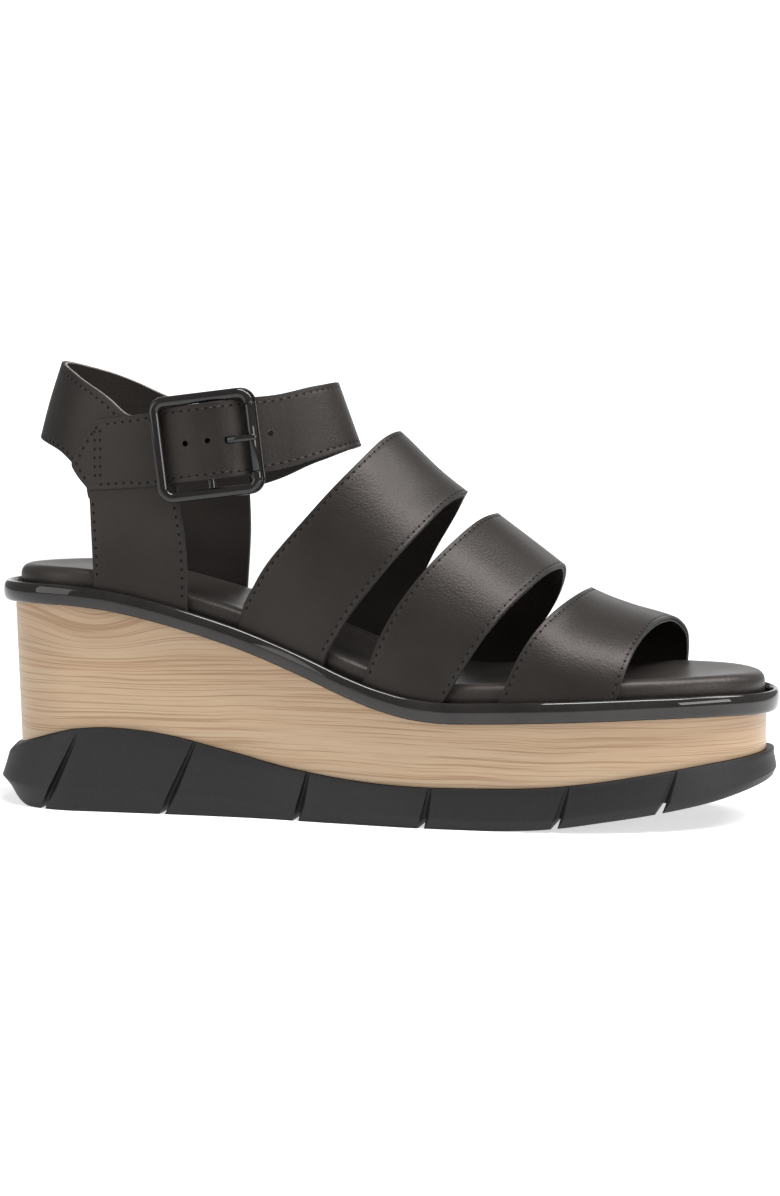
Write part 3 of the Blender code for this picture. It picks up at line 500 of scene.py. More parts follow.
def tube(path, radii, sides=16, flat=1.0, axis=None, closed=False, squareness=1.0):
    """Points and faces of a round or flattened bar along a path. axis is its sideways direction."""
    path = [np.asarray(p, float) for p in path]
    points = []
    for i, place in enumerate(path):
        before = path[i - 1] if i > 0 or closed else place
        after = path[(i + 1) % len(path)] if i < len(path) - 1 or closed else place
        ahead = (after - before) / np.linalg.norm(after - before)
        sideways = axis - ahead * (axis @ ahead)
        sideways /= np.linalg.norm(sideways)
        normal = np.cross(ahead, sideways)
        for cosine, sine in circle(sides):
            across, rise = squared(cosine, squareness), squared(sine, squareness)
            points.append(place + sideways * radii[i] * flat * across + normal * radii[i] * rise)
    faces = wall_faces(len(path), sides, closed)
    if not closed:
        faces.append(tuple(range(sides)))
        faces.append(tuple(reversed(range((len(path) - 1) * sides, len(path) * sides))))
    return np.array(points), faces


def merge(pieces):
    """Points and faces of several shapes in one list."""
    points, faces = [], []
    for some_points, some_faces in pieces:
        start = len(points)
        points += list(some_points)
        faces += [tuple(i + start for i in f) for f in some_faces]
    return points, faces


# ---- materials ---------------------------------------------------------------------------------
def nodes_of(name, inputs):
    """A new material with its node tree and its shader, set as inputs says."""
    made = bpy.data.materials.new(name)
    made.use_nodes = True
    shader = made.node_tree.nodes["Principled BSDF"]
    for key, value in inputs.items():
        shader.inputs[key].default_value = value
    return made, made.node_tree, shader


def add(tree, kind, inputs=None, **settings):
    node = tree.nodes.new(kind)
    for key, value in settings.items():
        setattr(node, key, value)
    for key, value in (inputs or {}).items():
        if isinstance(value, bpy.types.NodeSocket):
            tree.links.new(value, node.inputs[key])
        else:
            node.inputs[key].default_value = value
    return node


def place_of(tree, scale=(1, 1, 1)):
    """Object coordinates, stretched."""
    where = add(tree, "ShaderNodeTexCoord").outputs["Object"]
    return add(tree, "ShaderNodeMapping", {"Vector": where, "Scale": scale}).outputs["Vector"]


def noise_of(tree, place, scale, detail, **more):
    inputs = {"Vector": place, "Scale": scale, "Detail": detail, **more}
    return add(tree, "ShaderNodeTexNoise", inputs).outputs["Fac"]


def spread_of(tree, value, low, high):
    """The value's range from 0 to 1 stretched to run from low to high."""
    inputs = {"Value": value, "To Min": low, "To Max": high}
    return add(tree, "ShaderNodeMapRange", inputs).outputs["Result"]


def colour_in(tree, shader, factor, low, high):
    tree.links.new(ramp(tree, factor, [(0.3, low), (0.7, high)]), shader.inputs["Base Color"])


def bump_in(tree, shader, height, strength, distance=0.0001):
    inputs = {"Height": height, "Strength": strength, "Distance": distance}
    bumped = add(tree, "ShaderNodeBump", inputs)
    tree.links.new(bumped.outputs["Normal"], shader.inputs["Normal"])


def maths(tree, operation, first, second=0.0):
    return add(tree, "ShaderNodeMath", {0: first, 1: second}, operation=operation).outputs[0]


def ramp(tree, factor, stops):
    node = add(tree, "ShaderNodeValToRGB", {"Fac": factor})
    elements = node.color_ramp.elements
    while len(elements) < len(stops):
        elements.new(0.5)
    for element, (position, colour) in zip(elements, stops):
        element.position = position
        element.color = (*colour, 1)
    return node.outputs["Color"]


def shade(colour, factor):
    return tuple(c * factor for c in colour)


def leather(name, colour, roughness, grain=0.55, bump=0.6):
    """Smooth finished leather: fine pores and wrinkles, faint clouding and uneven polish."""
    made, tree, shader = nodes_of(name, {"Specular IOR Level": 0.26,
                                         "Specular Tint": (1.0, 0.91, 0.86, 1)})
    place = place_of(tree)
    cloud = noise_of(tree, place, 45.0, 4.0)
    colour_in(tree, shader, cloud, shade(colour, 0.82), shade(colour, 1.22))
    polish = spread_of(tree, cloud, roughness - 0.05, roughness + 0.07)
    tree.links.new(polish, shader.inputs["Roughness"])
    cells = add(tree, "ShaderNodeTexVoronoi", {"Vector": place, "Scale": 1000.0 / grain},
                feature="SMOOTH_F1").outputs["Distance"]
    grainy = maths(tree, "ADD", cells, noise_of(tree, place, 900.0, 3.0))
    bump_in(tree, shader, maths(tree, "ADD", grainy, noise_of(tree, place, 160.0, 2.0)), bump)
    return made


def gloss(name, colour, roughness, coat, ripple):
    """Patent or enamel: a clear coat over near black, with a faint ripple."""
    made, tree, shader = nodes_of(name, {"Specular IOR Level": 0.0, "Coat Weight": coat,
                                         "Coat Roughness": 0.05})
    cloud = noise_of(tree, place_of(tree), 90.0, 3.0)
    colour_in(tree, shader, cloud, shade(colour, 0.8), shade(colour, 1.3))
    polish = spread_of(tree, cloud, roughness * 0.7, roughness * 1.4)
    tree.links.new(polish, shader.inputs["Roughness"])
    bump_in(tree, shader, cloud, ripple, 0.0003)
    return made


def plain(name, colour, roughness, scale=400.0, bump=0.3, spread=0.2):
    """A matt surface with a fine speckle: rubber, edges, board, cork or foam."""
    made, tree, shader = nodes_of(name, {"Roughness": roughness, "Specular IOR Level": 0.3})
    speckle = noise_of(tree, place_of(tree), scale, 5.0)
    colour_in(tree, shader, speckle, shade(colour, 1 - spread), shade(colour, 1 + spread))
    bump_in(tree, shader, speckle, bump)
    return made


def wood(name):
    """Pale wood: long fine grain that sags a little and swirls round one place, under a varnish."""
    made, tree, shader = nodes_of(name, {"Roughness": 0.4, "Specular IOR Level": 0.3})
    place = place_of(tree)
    parts = add(tree, "ShaderNodeSeparateXYZ", {"Vector": place})
    drift = noise_of(tree, place_of(tree, (14, 14, 30)), 1.0, 2.0)
    away = add(tree, "ShaderNodeMapping", {"Vector": place, "Location": (4.5, 0.0, -5.6),
                                           "Scale": (50.0, 0.0, 90.0)}, vector_type="POINT")
    reach = add(tree, "ShaderNodeVectorMath", {0: away.outputs["Vector"]}, operation="LENGTH")
    fall = maths(tree, "MULTIPLY", maths(tree, "POWER", reach.outputs["Value"], 2.0), -1.0)
    swirl = maths(tree, "MULTIPLY", maths(tree, "EXPONENT", fall), 0.0075)
    height = maths(tree, "ADD", parts.outputs["Z"], maths(tree, "MULTIPLY", drift, 0.005))
    shifted = add(tree, "ShaderNodeCombineXYZ", {"X": parts.outputs["X"], "Y": parts.outputs["Y"],
                                                 "Z": maths(tree, "ADD", height, swirl)})

    def streaks(along, across, detail):
        stretched = add(tree, "ShaderNodeMapping", {"Vector": shifted.outputs["Vector"],
                                                    "Scale": (along, along, across)})
        return noise_of(tree, stretched.outputs["Vector"], 1.0, detail, Roughness=0.6)

    def darkened(share, colours, darker):
        mixed = add(tree, "ShaderNodeMix", {0: share, 6: colours, 7: darker}, data_type="RGBA",
                    blend_type="MULTIPLY")
        return mixed.outputs[2]
    lines = streaks(15, 2200, 1.0)
    base = ramp(tree, streaks(5, 130, 2.0), [(0.34, (0.352, 0.240, 0.151)),
                                             (0.5, (0.372, 0.264, 0.168)),
                                             (0.66, (0.384, 0.284, 0.187))])
    darker = ramp(tree, lines, [(0.38, (0.72, 0.64, 0.57)), (0.46, (0.94, 0.92, 0.90)),
                                (0.52, (1, 1, 1))])
    finest = ramp(tree, streaks(60, 3000, 1.0), [(0.36, (0.86, 0.83, 0.80)), (0.5, (1, 1, 1))])
    tree.links.new(darkened(0.6, darkened(0.85, base, darker), finest), shader.inputs["Base Color"])
    bump_in(tree, shader, lines, 0.12)
    return made


LEATHER = leather("smooth_leather", (0.0098, 0.0081, 0.0072), 0.42)
FOOTBED = leather("footbed_leather", (0.018, 0.0155, 0.0142), 0.40, grain=0.8)
LINING = leather("lining_leather", (0.009, 0.0075, 0.0066), 0.6, grain=0.7, bump=0.5)
EDGE = plain("edge_paint", (0.010, 0.0085, 0.0078), 0.6)
RAW_EDGE = plain("raw_edge", (0.17, 0.15, 0.135), 0.8)
THREAD = plain("black_thread", (0.014, 0.011, 0.010), 0.45, scale=2500.0)
# near-black colour of the discs between the threads: painted shade of the needle holes
NEEDLE_HOLE_SHADE = plain("painted_needle_hole_shade", (0.001, 0.001, 0.001), 1.0, scale=2500.0)
PATENT = gloss("patent_welt", (0.012, 0.0105, 0.0099), 0.10, coat=0.75, ripple=0.008)
ENAMEL = gloss("black_enamel", (0.008, 0.0072, 0.0068), 0.12, coat=0.8, ripple=0.01)
RUBBER = plain("moulded_rubber", (0.0065, 0.0060, 0.0061), 0.52, scale=700.0, bump=0.25)
WOOD = wood("pale_wood")
CORK = plain("pressed_cork", (0.25, 0.16, 0.09), 0.9, scale=300.0, bump=0.6, spread=0.4)
BOARD = plain("insole_fibreboard", (0.35, 0.25, 0.16), 0.85)
FOAM = plain("soft_foam", (0.70, 0.66, 0.55), 0.95, scale=900.0, bump=0.6)


# ---- the bottom --------------------------------------------------------------------------------
GROOVES = ((22.8, 37.2), (65.5, 76.8), (112.0, 116.3), (155.0, 157.8), (198.0, 202.2),
           (230.3, 235.3))               # x of each groove at its lower and at its upper end
GROOVE_WIDTH = 2.0
GROOVE_EASE = 4.8            # how far the easy wall of a groove runs out
GROOVE_DEPTH = 6.0
GROOVE_START = 2.6           # its floor, outside the footbed's outline
GROOVE_SPARE = 2.0
NOTCH_HEIGHT = 3.4
HEEL_LIFT, HEEL_LIFT_RUN = 8.4, 17.0
FLANK_RISE = smooth([(0, 0.4), (2, 1.6), (5, 3.6), (8.5, 5.3), (12, 6.5), (17, 7.5), (65, 7.5),
                     (110, 5.0), (187, 3.0), (230, 3.0), (262, 2.5)])


def sole_underside(x):
    lift = np.clip(1 - np.asarray(x, float) / HEEL_LIFT_RUN, 0, 1)
    return SOLE_BOTTOM(x) + HEEL_LIFT * lift**1.6


def flank(share):
    """Height between the widest line of the outsole's flank (0) and its upper lip (1)."""
    return lambda x: between(sole_underside(x) + FLANK_RISE(x), SOLE_TOP(x), share)


def groove_tools():
    """Slanting slots through each flank, one wall steep and one easy, and notches across."""
    tools = []
    for number, (bottom, top) in enumerate(GROOVES):
        low, high = float(SOLE_BOTTOM(bottom)) - GROOVE_SPARE, float(SOLE_TOP(top)) + 1.0
        lean = (top - bottom) / (float(SOLE_TOP(top)) - float(SOLE_BOTTOM(bottom)))
        half = GROOVE_WIDTH / 2
        reach = float(SOLE_BOTTOM(bottom)) + NOTCH_HEIGHT
        first, last = bottom - GROOVE_SPARE * lean, bottom + (reach - low - GROOVE_SPARE) * lean
        outline = [(first - half, 0, low), (first + half, 0, low), (last + half, 0, reach),
                   (last - half, 0, reach)]
        tools.append(cutter(f"notch_{number}", *prism(outline, (0, 1, 0), 140.0)))
        last = bottom + (high - low - GROOVE_SPARE) * lean
        middle = (bottom + top) / 2
        for side in (-1, 1):
            wall, ahead, behind = (float(edge_y(middle + step, side, GROOVE_START))
                                   for step in (0, 4, -4))
            slope = (ahead - behind) / 8
            points = []
            for x, z, wide in ((first, low, 1.0), (last, high, 0.55)):
                for across, depth in ((-half, 0.0), (-half, GROOVE_DEPTH),
                                      (half + GROOVE_EASE, GROOVE_DEPTH), (half * 0.6, 0.0)):
                    place = x + across * wide
                    points.append((place, wall + side * depth + slope * (place - middle), z))
            faces = [(0, 1, 2, 3), (7, 6, 5, 4)]
            faces += [(i, 4 + i, 4 + (i + 1) % 4, (i + 1) % 4) for i in range(4)]
            tools.append(cutter(f"groove_{number}_{side}", points, faces))
    return tools


def make_outsole():
    def worn_top(x):
        return SOLE_TOP(x) - 0.5 - 1.6 * ease((14.0 - x) / 12.0)
    rings = [ring(2.2, above(SOLE_TOP, -0.1), heel=1.2, toe=2.4),
             ring(2.9, above(SOLE_TOP, 0.0), heel=1.8, toe=3.0),
             ring(3.2, worn_top, heel=4.2, toe=3.25)]
    for share, side, heel in ((0.75, 3.6, 4.9), (0.45, 4.0, 5.9), (0.15, 4.36, 7.0),
                              (0.04, 4.45, 7.4), (0.0, 4.46, 7.5)):
        rings.append(ring(side, flank(share), heel=heel, toe=side - 0.45))
    for share, side, heel in ((0.93, 4.4, 7.3), (0.5, 3.95, 5.0), (0.08, 3.4, 3.3),
                              (0.0, 3.1, 2.8)):
        rings.append(ring(side, lambda x, s=share: sole_underside(x) + FLANK_RISE(x) * s, heel=heel,
                          toe=side - 0.3))
    points, faces = stack(rings)
    obj = new_piece("outsole_tread", points, faces, [RUBBER], replaces=["outsole"], slot="outsole",
                    smooth_angle=28)
    cut(obj, groove_tools())


def make_wedge():
    rings = [ring(1.35, above(SOLE_TOP, 0.1), heel=0.2, toe=0.6)]
    for share in (0.25, 0.5, 0.75):
        rings.append(ring(1.4 + 0.5 * share,
                          lambda x, s=share: between(SOLE_TOP(x), WEDGE_TOP(x), s),
                          heel=0.2 + 1.8 * share, toe=0.6))
    rings.append(ring(1.9, above(WEDGE_TOP, -0.05), heel=2.0, toe=0.6))
    new_piece("wedge_wood", *stack(rings), [WOOD], replaces=["wedge"], slot="wedge")


def make_welt():
    heel_share, toe_share = 0.94, 0.75
    centre, reach, tall = 4.7, 1.6, 3.4
    profile = [(-8.0, 0.2), (-8.0, FLANGE), (3.0, FLANGE)]
    for cosine, sine in arc(196, -122, 22):
        profile.append((centre + reach * squared(cosine, 0.85), 2.95 + tall * squared(sine, 0.9)))
    profile.append((2.4, 0.2))
    rings = []
    for d, h in profile:
        heel, toe = (d * heel_share, d * toe_share) if d > 0 else (d, d)
        rings.append(ring(d, above(WEDGE_TOP, h), heel, toe))
    new_piece("welt_bead", *stack(rings, closed=True), [PATENT], replaces=["welt"], slot="welt",
              smooth_angle=60)


def make_footbed():
    """The padded footbed's leather cover: rounded edge, heel and toe very slightly dished."""
    skirt = 4.3
    profile = ((-9.0, skirt), (-0.2, skirt), (0.0, skirt + 0.4), (0.05, 7.4), (0.0, 8.8),
               (-0.3, 9.9), (-0.9, 10.8), (-1.7, 11.4), (-2.8, 11.75), (-4.2, 11.8), (-7.0, 11.6),
               (-11.0, 11.2), (-16.0, 10.9))
    points, faces = stack([ring(offset, above(WEDGE_TOP, rise)) for offset, rise in profile])
    obj = new_piece("footbed_leather", points, faces, [FOOTBED], replaces=["footbed_cover"],
                    slot="sock_leather", smooth_angle=60)


# ---- forefoot straps ---------------------------------------------------------------------------
CREST_Z = smooth([(88, 172), (110, 151), (125, 136.8), (137.5, 125.2), (150, 112.8), (160, 105.0),
                  (170, 97.8), (183, 88.0), (193, 80.0), (201, 73.4), (214, 68.3), (227, 64.5),
                  (233, 62.0), (245, 56)])
CREST_Y = smooth([(88, 0), (125, 3), (150, 7), (180, 9), (210, 11), (235, 12)])
FULL_OUTER = smooth([(88, 2.2), (125, 2.0), (160, 2.0), (200, 2.3), (235, 2.5)])
FULL_INNER = smooth([(88, 2.2), (125, 2.2), (160, 2.3), (200, 2.4), (235, 2.5)])


def foot_point(x, t):
    """Points of the forefoot's surface: t runs from 0 at the footbed's outer edge to 1 inside."""
    x, t = np.asarray(x, float), np.asarray(t, float)
    base = WEDGE_TOP(x) + MARGIN_LEVEL
    crest = CREST_Y(x)
    side = np.where(t < 0.5, -1.0, 1.0)
    power = 2 / np.where(side < 0, FULL_OUTER(x), FULL_INNER(x))
    wall = edge_y(x, side, STRAP_STANDOFF)
    across = np.abs(np.cos(math.pi * t))**power
    rise = np.clip(np.sin(math.pi * t), 0, 1)**power
    return np.stack([x, crest + (wall - crest) * across, base + (CREST_Z(x) - base) * rise], -1)


STRAPS = {
    "instep": (smooth([(0, 91.8), (0.03, 93.6), (0.086, 102.9), (0.14, 111.5), (0.23, 122.8),
                       (0.34, 132.3), (0.5, 137.4), (0.62, 134.6), (0.75, 127), (0.86, 117.5),
                       (0.94, 108.5), (1, 101)]),
               smooth([(0, 121.0), (0.036, 123.6), (0.105, 133.3), (0.2, 144.7), (0.33, 155.0),
                       (0.5, 160.2), (0.58, 158.4), (0.7, 153.6), (0.84, 143.2), (0.93, 135.5),
                       (1, 130)])),
    "mid": (smooth([(0, 134.3), (0.073, 140), (0.132, 146), (0.226, 155.6), (0.3, 162),
                    (0.41, 167.6), (0.5, 169.8), (0.62, 167.5), (0.75, 162.5), (0.87, 155.5),
                    (1, 147.5)]),
            smooth([(0, 160.3), (0.05, 166.2), (0.1, 171.4), (0.157, 177.1), (0.22, 182.4),
                    (0.31, 187.8), (0.5, 192.0), (0.62, 191.6), (0.74, 189.4), (0.84, 185.1),
                    (0.936, 176.8), (1, 171)])),
    "toe": (smooth([(0, 178.9), (0.073, 183.6), (0.14, 188), (0.22, 193), (0.33, 197.8),
                    (0.5, 201.3), (0.65, 199.7), (0.8, 197), (1, 193)]),
            smooth([(0, 216.2), (0.11, 219.4), (0.25, 222.5), (0.37, 225.4), (0.5, 228.2),
                    (0.64, 231.2), (0.73, 232.7), (0.85, 232.5), (1, 231.4)])),
}
STRAP_COLUMNS = 41
STRAP_ROWS = 150
STITCH_INSET = 1.5
FOOT_STEP = 1.4              # first row of a strap above its lasted margin
FAIRING = 0.05               # share of a strap's length that its edges are averaged over


def fair(edge):
    """The edge with its small unevenness averaged out, unchanged at its ends."""
    def value(t):
        t = np.asarray(t, float)
        room = np.minimum(FAIRING, np.minimum(t, 1 - t))
        return sum(weight * edge(t + room * step) for step, weight in
                   ((-1, 0.15), (-0.5, 0.22), (0, 0.26), (0.5, 0.22), (1, 0.15)))
    return value


def column_shares(columns):
    """Shares across a strap, closer together near its two edges."""
    even = np.linspace(0, 1, columns)
    near = 0.5 - 0.5 * np.cos(math.pi * even)
    return 0.6 * near + 0.4 * even


def lasted_rows(place, side):
    """The turned-in margin under the insole board, for one column of a strap."""
    bend = ((LASTED, 0), (1.4, 0), (0.75, 0.08), (0.3, 0.35), (0.06, 0.8))
    return [np.asarray(place) + np.array([0, -side * inward, rise]) for inward, rise in bend]


def strap_sheet(back, front):
    """The strap's sheet, and the points of its front and back stitch lines."""
    steps = 0.5 - 0.5 * np.cos(math.pi * np.arange(1, STRAP_ROWS + 1) / (STRAP_ROWS + 1))
    t = 0.018 + 0.964 * steps
    columns = []
    for share in column_shares(STRAP_COLUMNS):
        x = between(back(t), front(t), share)
        wall = foot_point(x, t)
        first = foot_point(between(float(back(0)), float(front(0)), share), 0.0)
        last = foot_point(between(float(back(1)), float(front(1)), share), 1.0)
        column = lasted_rows(first, -1) + [first + (0, 0, FOOT_STEP)] + list(wall)
        column += [last + (0, 0, FOOT_STEP)] + lasted_rows(last, 1)[::-1]
        columns.append(column)
    points = np.array(columns).transpose(1, 0, 2)
    width = np.linalg.norm(foot_point(front(t), t) - foot_point(back(t), t), axis=1)
    lines = []
    for inset in (STITCH_INSET / width, 1 - STITCH_INSET / width):
        lines.append(foot_point(between(back(t), front(t), inset), t))
    rows, count = points.shape[:2]
    return points.reshape(-1, 3), grid_faces(rows, count), lines


def undulate(points, normals, size, depth, seed):
    """Slow, shallow swellings, as leather has where it was pulled over a last."""
    lift = [noise.noise(Vector(p) / size + Vector((seed, 0, 0))) for p in points]
    return points + normals * (np.array(lift) * depth)[:, None]


def face_middles(points, faces):
    return [points[list(face)].mean(axis=0) for face in faces]


def leather_pair(name, points, faces, lines, seed, replaces, raw):
    """Outer ply, lining and stitching of a strap. raw is the finish of the lining's high edges."""
    normals, _ = sheet_normals(points, faces)
    shaped = undulate(points, normals, 22.0, 0.35, seed)
    outer = outer_ply(name + "_outer", shaped, normals, faces, lines, 0.0, replaces[:1])
    solid, shell, rims = thicken(shaped, faces, -PLY_GAP - LINING_PLY, -PLY_GAP)
    rims = [kind * (1 + (place[2] > RAW_LEVEL))
            for kind, place in zip(rims, face_middles(solid, shell))]
    new_piece(name + "_inner", solid, shell, [LINING, EDGE, raw], replaces=replaces[1:],
              slot="lining_leather", rims=rims)
    stitches(name + "_stitches", outer, lift_lines(points, normals, lines, OUTER_PLY + 0.3))


def outer_ply(name, points, normals, faces, lines, low, replaces):
    """The outer leather, pulled down a little along its seams."""
    pressed = press(points, normals, lines, SINK, SINK_REACH)
    solid, shell, rims = thicken(pressed, faces, low, low + OUTER_PLY)
    return new_piece(name, solid, shell, [LEATHER, EDGE], replaces=replaces, slot="upper_leather",
                     rims=rims)


def make_straps():
    for seed, (name, (back, front)) in enumerate(STRAPS.items()):
        points, faces, lines = strap_sheet(fair(back), fair(front))
        leather_pair(name + "_strap", points, faces, lines, seed * 7.3,
                     [name + "_strap", name + "_lining"], EDGE)


# ---- the surface round the heel and the ankle --------------------------------------------------
HEEL_BACK = smooth([(60, 10), (82, 10), (100, 11), (112, 12.8), (124, 15.3), (137, 19),
                    (152, 24)])
ANKLE_FRONT = smooth([(60, 150), (82, 141), (100, 131.2), (120.6, 123.4), (142.6, 115.4),
                      (152, 112)])
ANKLE_OUTER = smooth([(60, -30.5), (82, -30.5), (100, -31.5), (136, -31.5), (152, -29.8)])
ANKLE_INNER = smooth([(60, 28.5), (82, 28.5), (100, 30), (122, 31), (140, 30), (152, 29)])


def ankle_point(angle, z):
    """Points of the rear surface. angle in degrees: 0 front, 90 outer side, 180 back, 270 inner."""
    turn, z = np.radians(angle), np.asarray(z, float)
    back, front = HEEL_BACK(z), ANKLE_FRONT(z)
    x = (back + front) / 2 + (front - back) / 2 * np.cos(turn)
    outer, inner = ANKLE_OUTER(z), ANKLE_INNER(z)
    y = (inner + outer) / 2 - (inner - outer) / 2 * np.sin(turn)
    side = np.where(np.sin(turn) > 0, -1.0, 1.0)
    share = ease((z - WEDGE_TOP(x) - BED_TOP + 4) / 30.0)
    return np.stack([x, y * share + edge_y(x, side, STRAP_STANDOFF) * (1 - share), z + 0 * x], -1)


def ankle_angle(x, z, side):
    back, front = HEEL_BACK(z), ANKLE_FRONT(z)
    angle = np.degrees(np.arccos(np.clip((x - (back + front) / 2) / ((front - back) / 2), -1, 1)))
    return np.where(np.asarray(side) < 0, angle, 360 - angle)


def ankle_normal(angle, z):
    around = ankle_point(angle + 0.5, z) - ankle_point(angle - 0.5, z)
    upward = ankle_point(angle, z + 0.5) - ankle_point(angle, z - 0.5)
    normal = np.cross(upward, around)
    return normal / np.linalg.norm(normal, axis=-1, keepdims=True)


def lifted(angle, z, height):
    return ankle_point(angle, z) + ankle_normal(angle, z) * np.asarray(height)[..., None]


# ---- quarter: outer post, heel sling and inner post in one piece --------------------------------
POST_TOP = 104.0
FOOT_LEVEL = 72.0            # about where the posts go into the bottom
RAW_LEVEL = 127.0            # above this the lining's cut edge is left pale
OUTER_POST = (smooth([(60, 74.0), (73, 74.3), (90, 73.6), (104, 71.6)]),
              smooth([(60, 42.4), (76, 42.0), (97, 40.4), (104, 39.9)]))
INNER_POST = (smooth([(60, 78.4), (73, 79.0), (90, 79.8), (104, 79.2)]),
              smooth([(60, 49.0), (76, 48.6), (97, 47.0), (104, 46.5)]))
OUTER_CORNERS = ((71.0, 129.4), (54.3, 131.8))   # a post's front and back corner at the top edge
INNER_CORNERS = ((79.0, 130.5), (54.0, 136.2))
SLING_LOW_OUTER = ((38.6, 108.3), (36.0, 112.4), (32.4, 116.4), (27.6, 119.8))
SLING_TOP_OUTER = ((48.0, 136.4), (44.4, 138.9), (40.7, 141.0), (35.5, 143.8))
SLING_LOW_INNER = ((45.0, 108.5), (42.0, 112.8), (38.0, 116.8), (31.5, 120.6))
SLING_TOP_INNER = ((50.0, 138.2), (46.2, 140.0), (42.0, 142.2), (35.5, 145.2))
SLING_LOW_BACK, SLING_TOP_BACK = 124.3, 149.8
POST_COLUMNS = 5             # driving columns, later drawn finer
FINE_SLING = 34
FINE_ROWS = 70


def sling_edges():
    """The sling's low and top edges round the heel as angle and height, outer post to inner."""
    def half(edges, front, back, sling, side):
        ends = []
        for share in np.linspace(0, 1, POST_COLUMNS):
            low_x = between(*(float(edge(POST_TOP)) for edge in edges), share)
            top = [between(a, b, share) for a, b in zip(front, back)]
            ends.append(((low_x, POST_TOP), top))
        return [(float(ankle_angle(*a, side)), a[1], float(ankle_angle(*b, side)), b[1])
                for a, b in ends + list(zip(*sling))]
    outer = half(OUTER_POST, *OUTER_CORNERS, (SLING_LOW_OUTER, SLING_TOP_OUTER), -1)
    inner = half(INNER_POST, *INNER_CORNERS, (SLING_LOW_INNER, SLING_TOP_INNER), 1)
    first, last = np.array(outer[-1]), np.array(inner[-1])
    back = []
    for c in range(1, 10):
        share = c / 10
        bow = math.sin(math.pi * share)**0.8
        low_a, low_z, top_a, top_z = between(first, last, share)
        back.append((low_a, low_z + (SLING_LOW_BACK - low_z) * bow,
                     top_a, top_z + (SLING_TOP_BACK - top_z) * bow))
    return np.array(outer + back + inner[::-1])


def finer(columns, number_each):
    """Columns drawn finer with a smooth curve through them."""
    places = np.arange(len(columns))
    fine = np.linspace(0, len(columns) - 1, (len(columns) - 1) * number_each + 1)
    curves = []
    for k in range(columns.shape[1]):
        curves.append(smooth(list(zip(places, columns[:, k])))(fine))
    return np.stack(curves, 1)


def quarter_sheet():
    """The quarter's sheet, and its stitch lines."""
    each = 7
    columns = finer(sling_edges(), each)
    rows = FINE_SLING
    shares = column_shares(rows)
    grid = []
    for low_a, low_z, top_a, top_z in columns:
        grid.append(ankle_point(between(low_a, top_a, shares), between(low_z, top_z, shares)))
    points = list(np.array(grid).reshape(-1, 3))
    faces = [(c * rows + r, (c + 1) * rows + r, (c + 1) * rows + r + 1, c * rows + r + 1)
             for c in range(len(columns) - 1) for r in range(rows - 1)]
    wide = (POST_COLUMNS - 1) * each
    lines = []
    for edges, side, first, step in ((OUTER_POST, -1, 0, 1), (INNER_POST, 1, len(columns) - 1, -1)):
        posts = []
        for c in range(wide + 1):
            share = c / wide
            foot_x = between(*(float(edge(FOOT_LEVEL)) for edge in edges), share)
            foot_z = float(WEDGE_TOP(foot_x)) + MARGIN_LEVEL
            foot = np.array([foot_x, float(edge_y(foot_x, side, STRAP_STANDOFF)), foot_z])
            rise = POST_TOP - foot_z - FOOT_STEP
            z = foot_z + FOOT_STEP + rise * np.arange(FINE_ROWS) / FINE_ROWS
            x = between(edges[0](z), edges[1](z), share)
            wall = ankle_point(ankle_angle(x, z, side), z)
            column = lasted_rows(foot, side) + list(wall)
            start = len(points)
            points.extend(column)
            posts.append(list(range(start, start + len(column))) + [(first + step * c) * rows])
        for left, right in zip(posts, posts[1:]):
            for r in range(len(left) - 1):
                face = (left[r], right[r], right[r + 1], left[r + 1])
                faces.append(face if side < 0 else face[::-1])
        lines += post_lines(edges, side)
    lines += sling_lines(columns, wide)
    return np.array(points), faces, lines


def post_lines(edges, side):
    """Stitch lines down a post, inside its front and back edges."""
    lines = []
    for edge, inward in zip(edges, (-1, 1)):
        z = np.linspace(float(WEDGE_TOP(edge(FOOT_LEVEL))) + 8, POST_TOP, 40)
        x = edge(z) + inward * STITCH_INSET
        lines.append(ankle_point(ankle_angle(x, z, side), z))
    return lines


def sling_lines(columns, wide):
    """Stitch lines along the sling's top edge and, between the posts, its low edge."""
    top_share, low_share = 0.92, 0.06
    lines = []
    for share, part in ((top_share, columns), (low_share, columns[wide:-wide])):
        angle = between(part[:, 0], part[:, 2], share)
        height = between(part[:, 1], part[:, 3], share)
        lines.append(ankle_point(angle, height))
    return lines


def make_quarter():
    points, faces, lines = quarter_sheet()
    leather_pair("heel_quarter", points, faces, lines, 31.0, ["quarter", "quarter_lining"],
                 RAW_EDGE)


# ---- the buckle's own frame: along the strap, up the strap, away from the foot -------------------
def buckle_angle_z(along, up, climb=0.0):
    x = BUCKLE_X + along * math.cos(BUCKLE_PITCH) - up * math.sin(BUCKLE_PITCH)
    z = BUCKLE_Z + along * math.sin(BUCKLE_PITCH) + up * math.cos(BUCKLE_PITCH) + climb
    return ankle_angle(x, z, -1), z


def on_strap(along, up, height):
    angle, z = buckle_angle_z(along, up)
    return lifted(angle, z, height)


def buckle_axes():
    along = on_strap(3, 0, 0) - on_strap(-3, 0, 0)
    along /= np.linalg.norm(along)
    up = np.cross(ankle_normal(*buckle_angle_z(0, 0)), along)
    up /= np.linalg.norm(up)
    return on_strap(0, 0, 0), along, up, np.cross(along, up)


ORIGIN, ALONG, UP, OUT = buckle_axes()


def local(along, up, height):
    """A design point from the buckle's own coordinates."""
    return ORIGIN + ALONG * along + UP * up + OUT * height


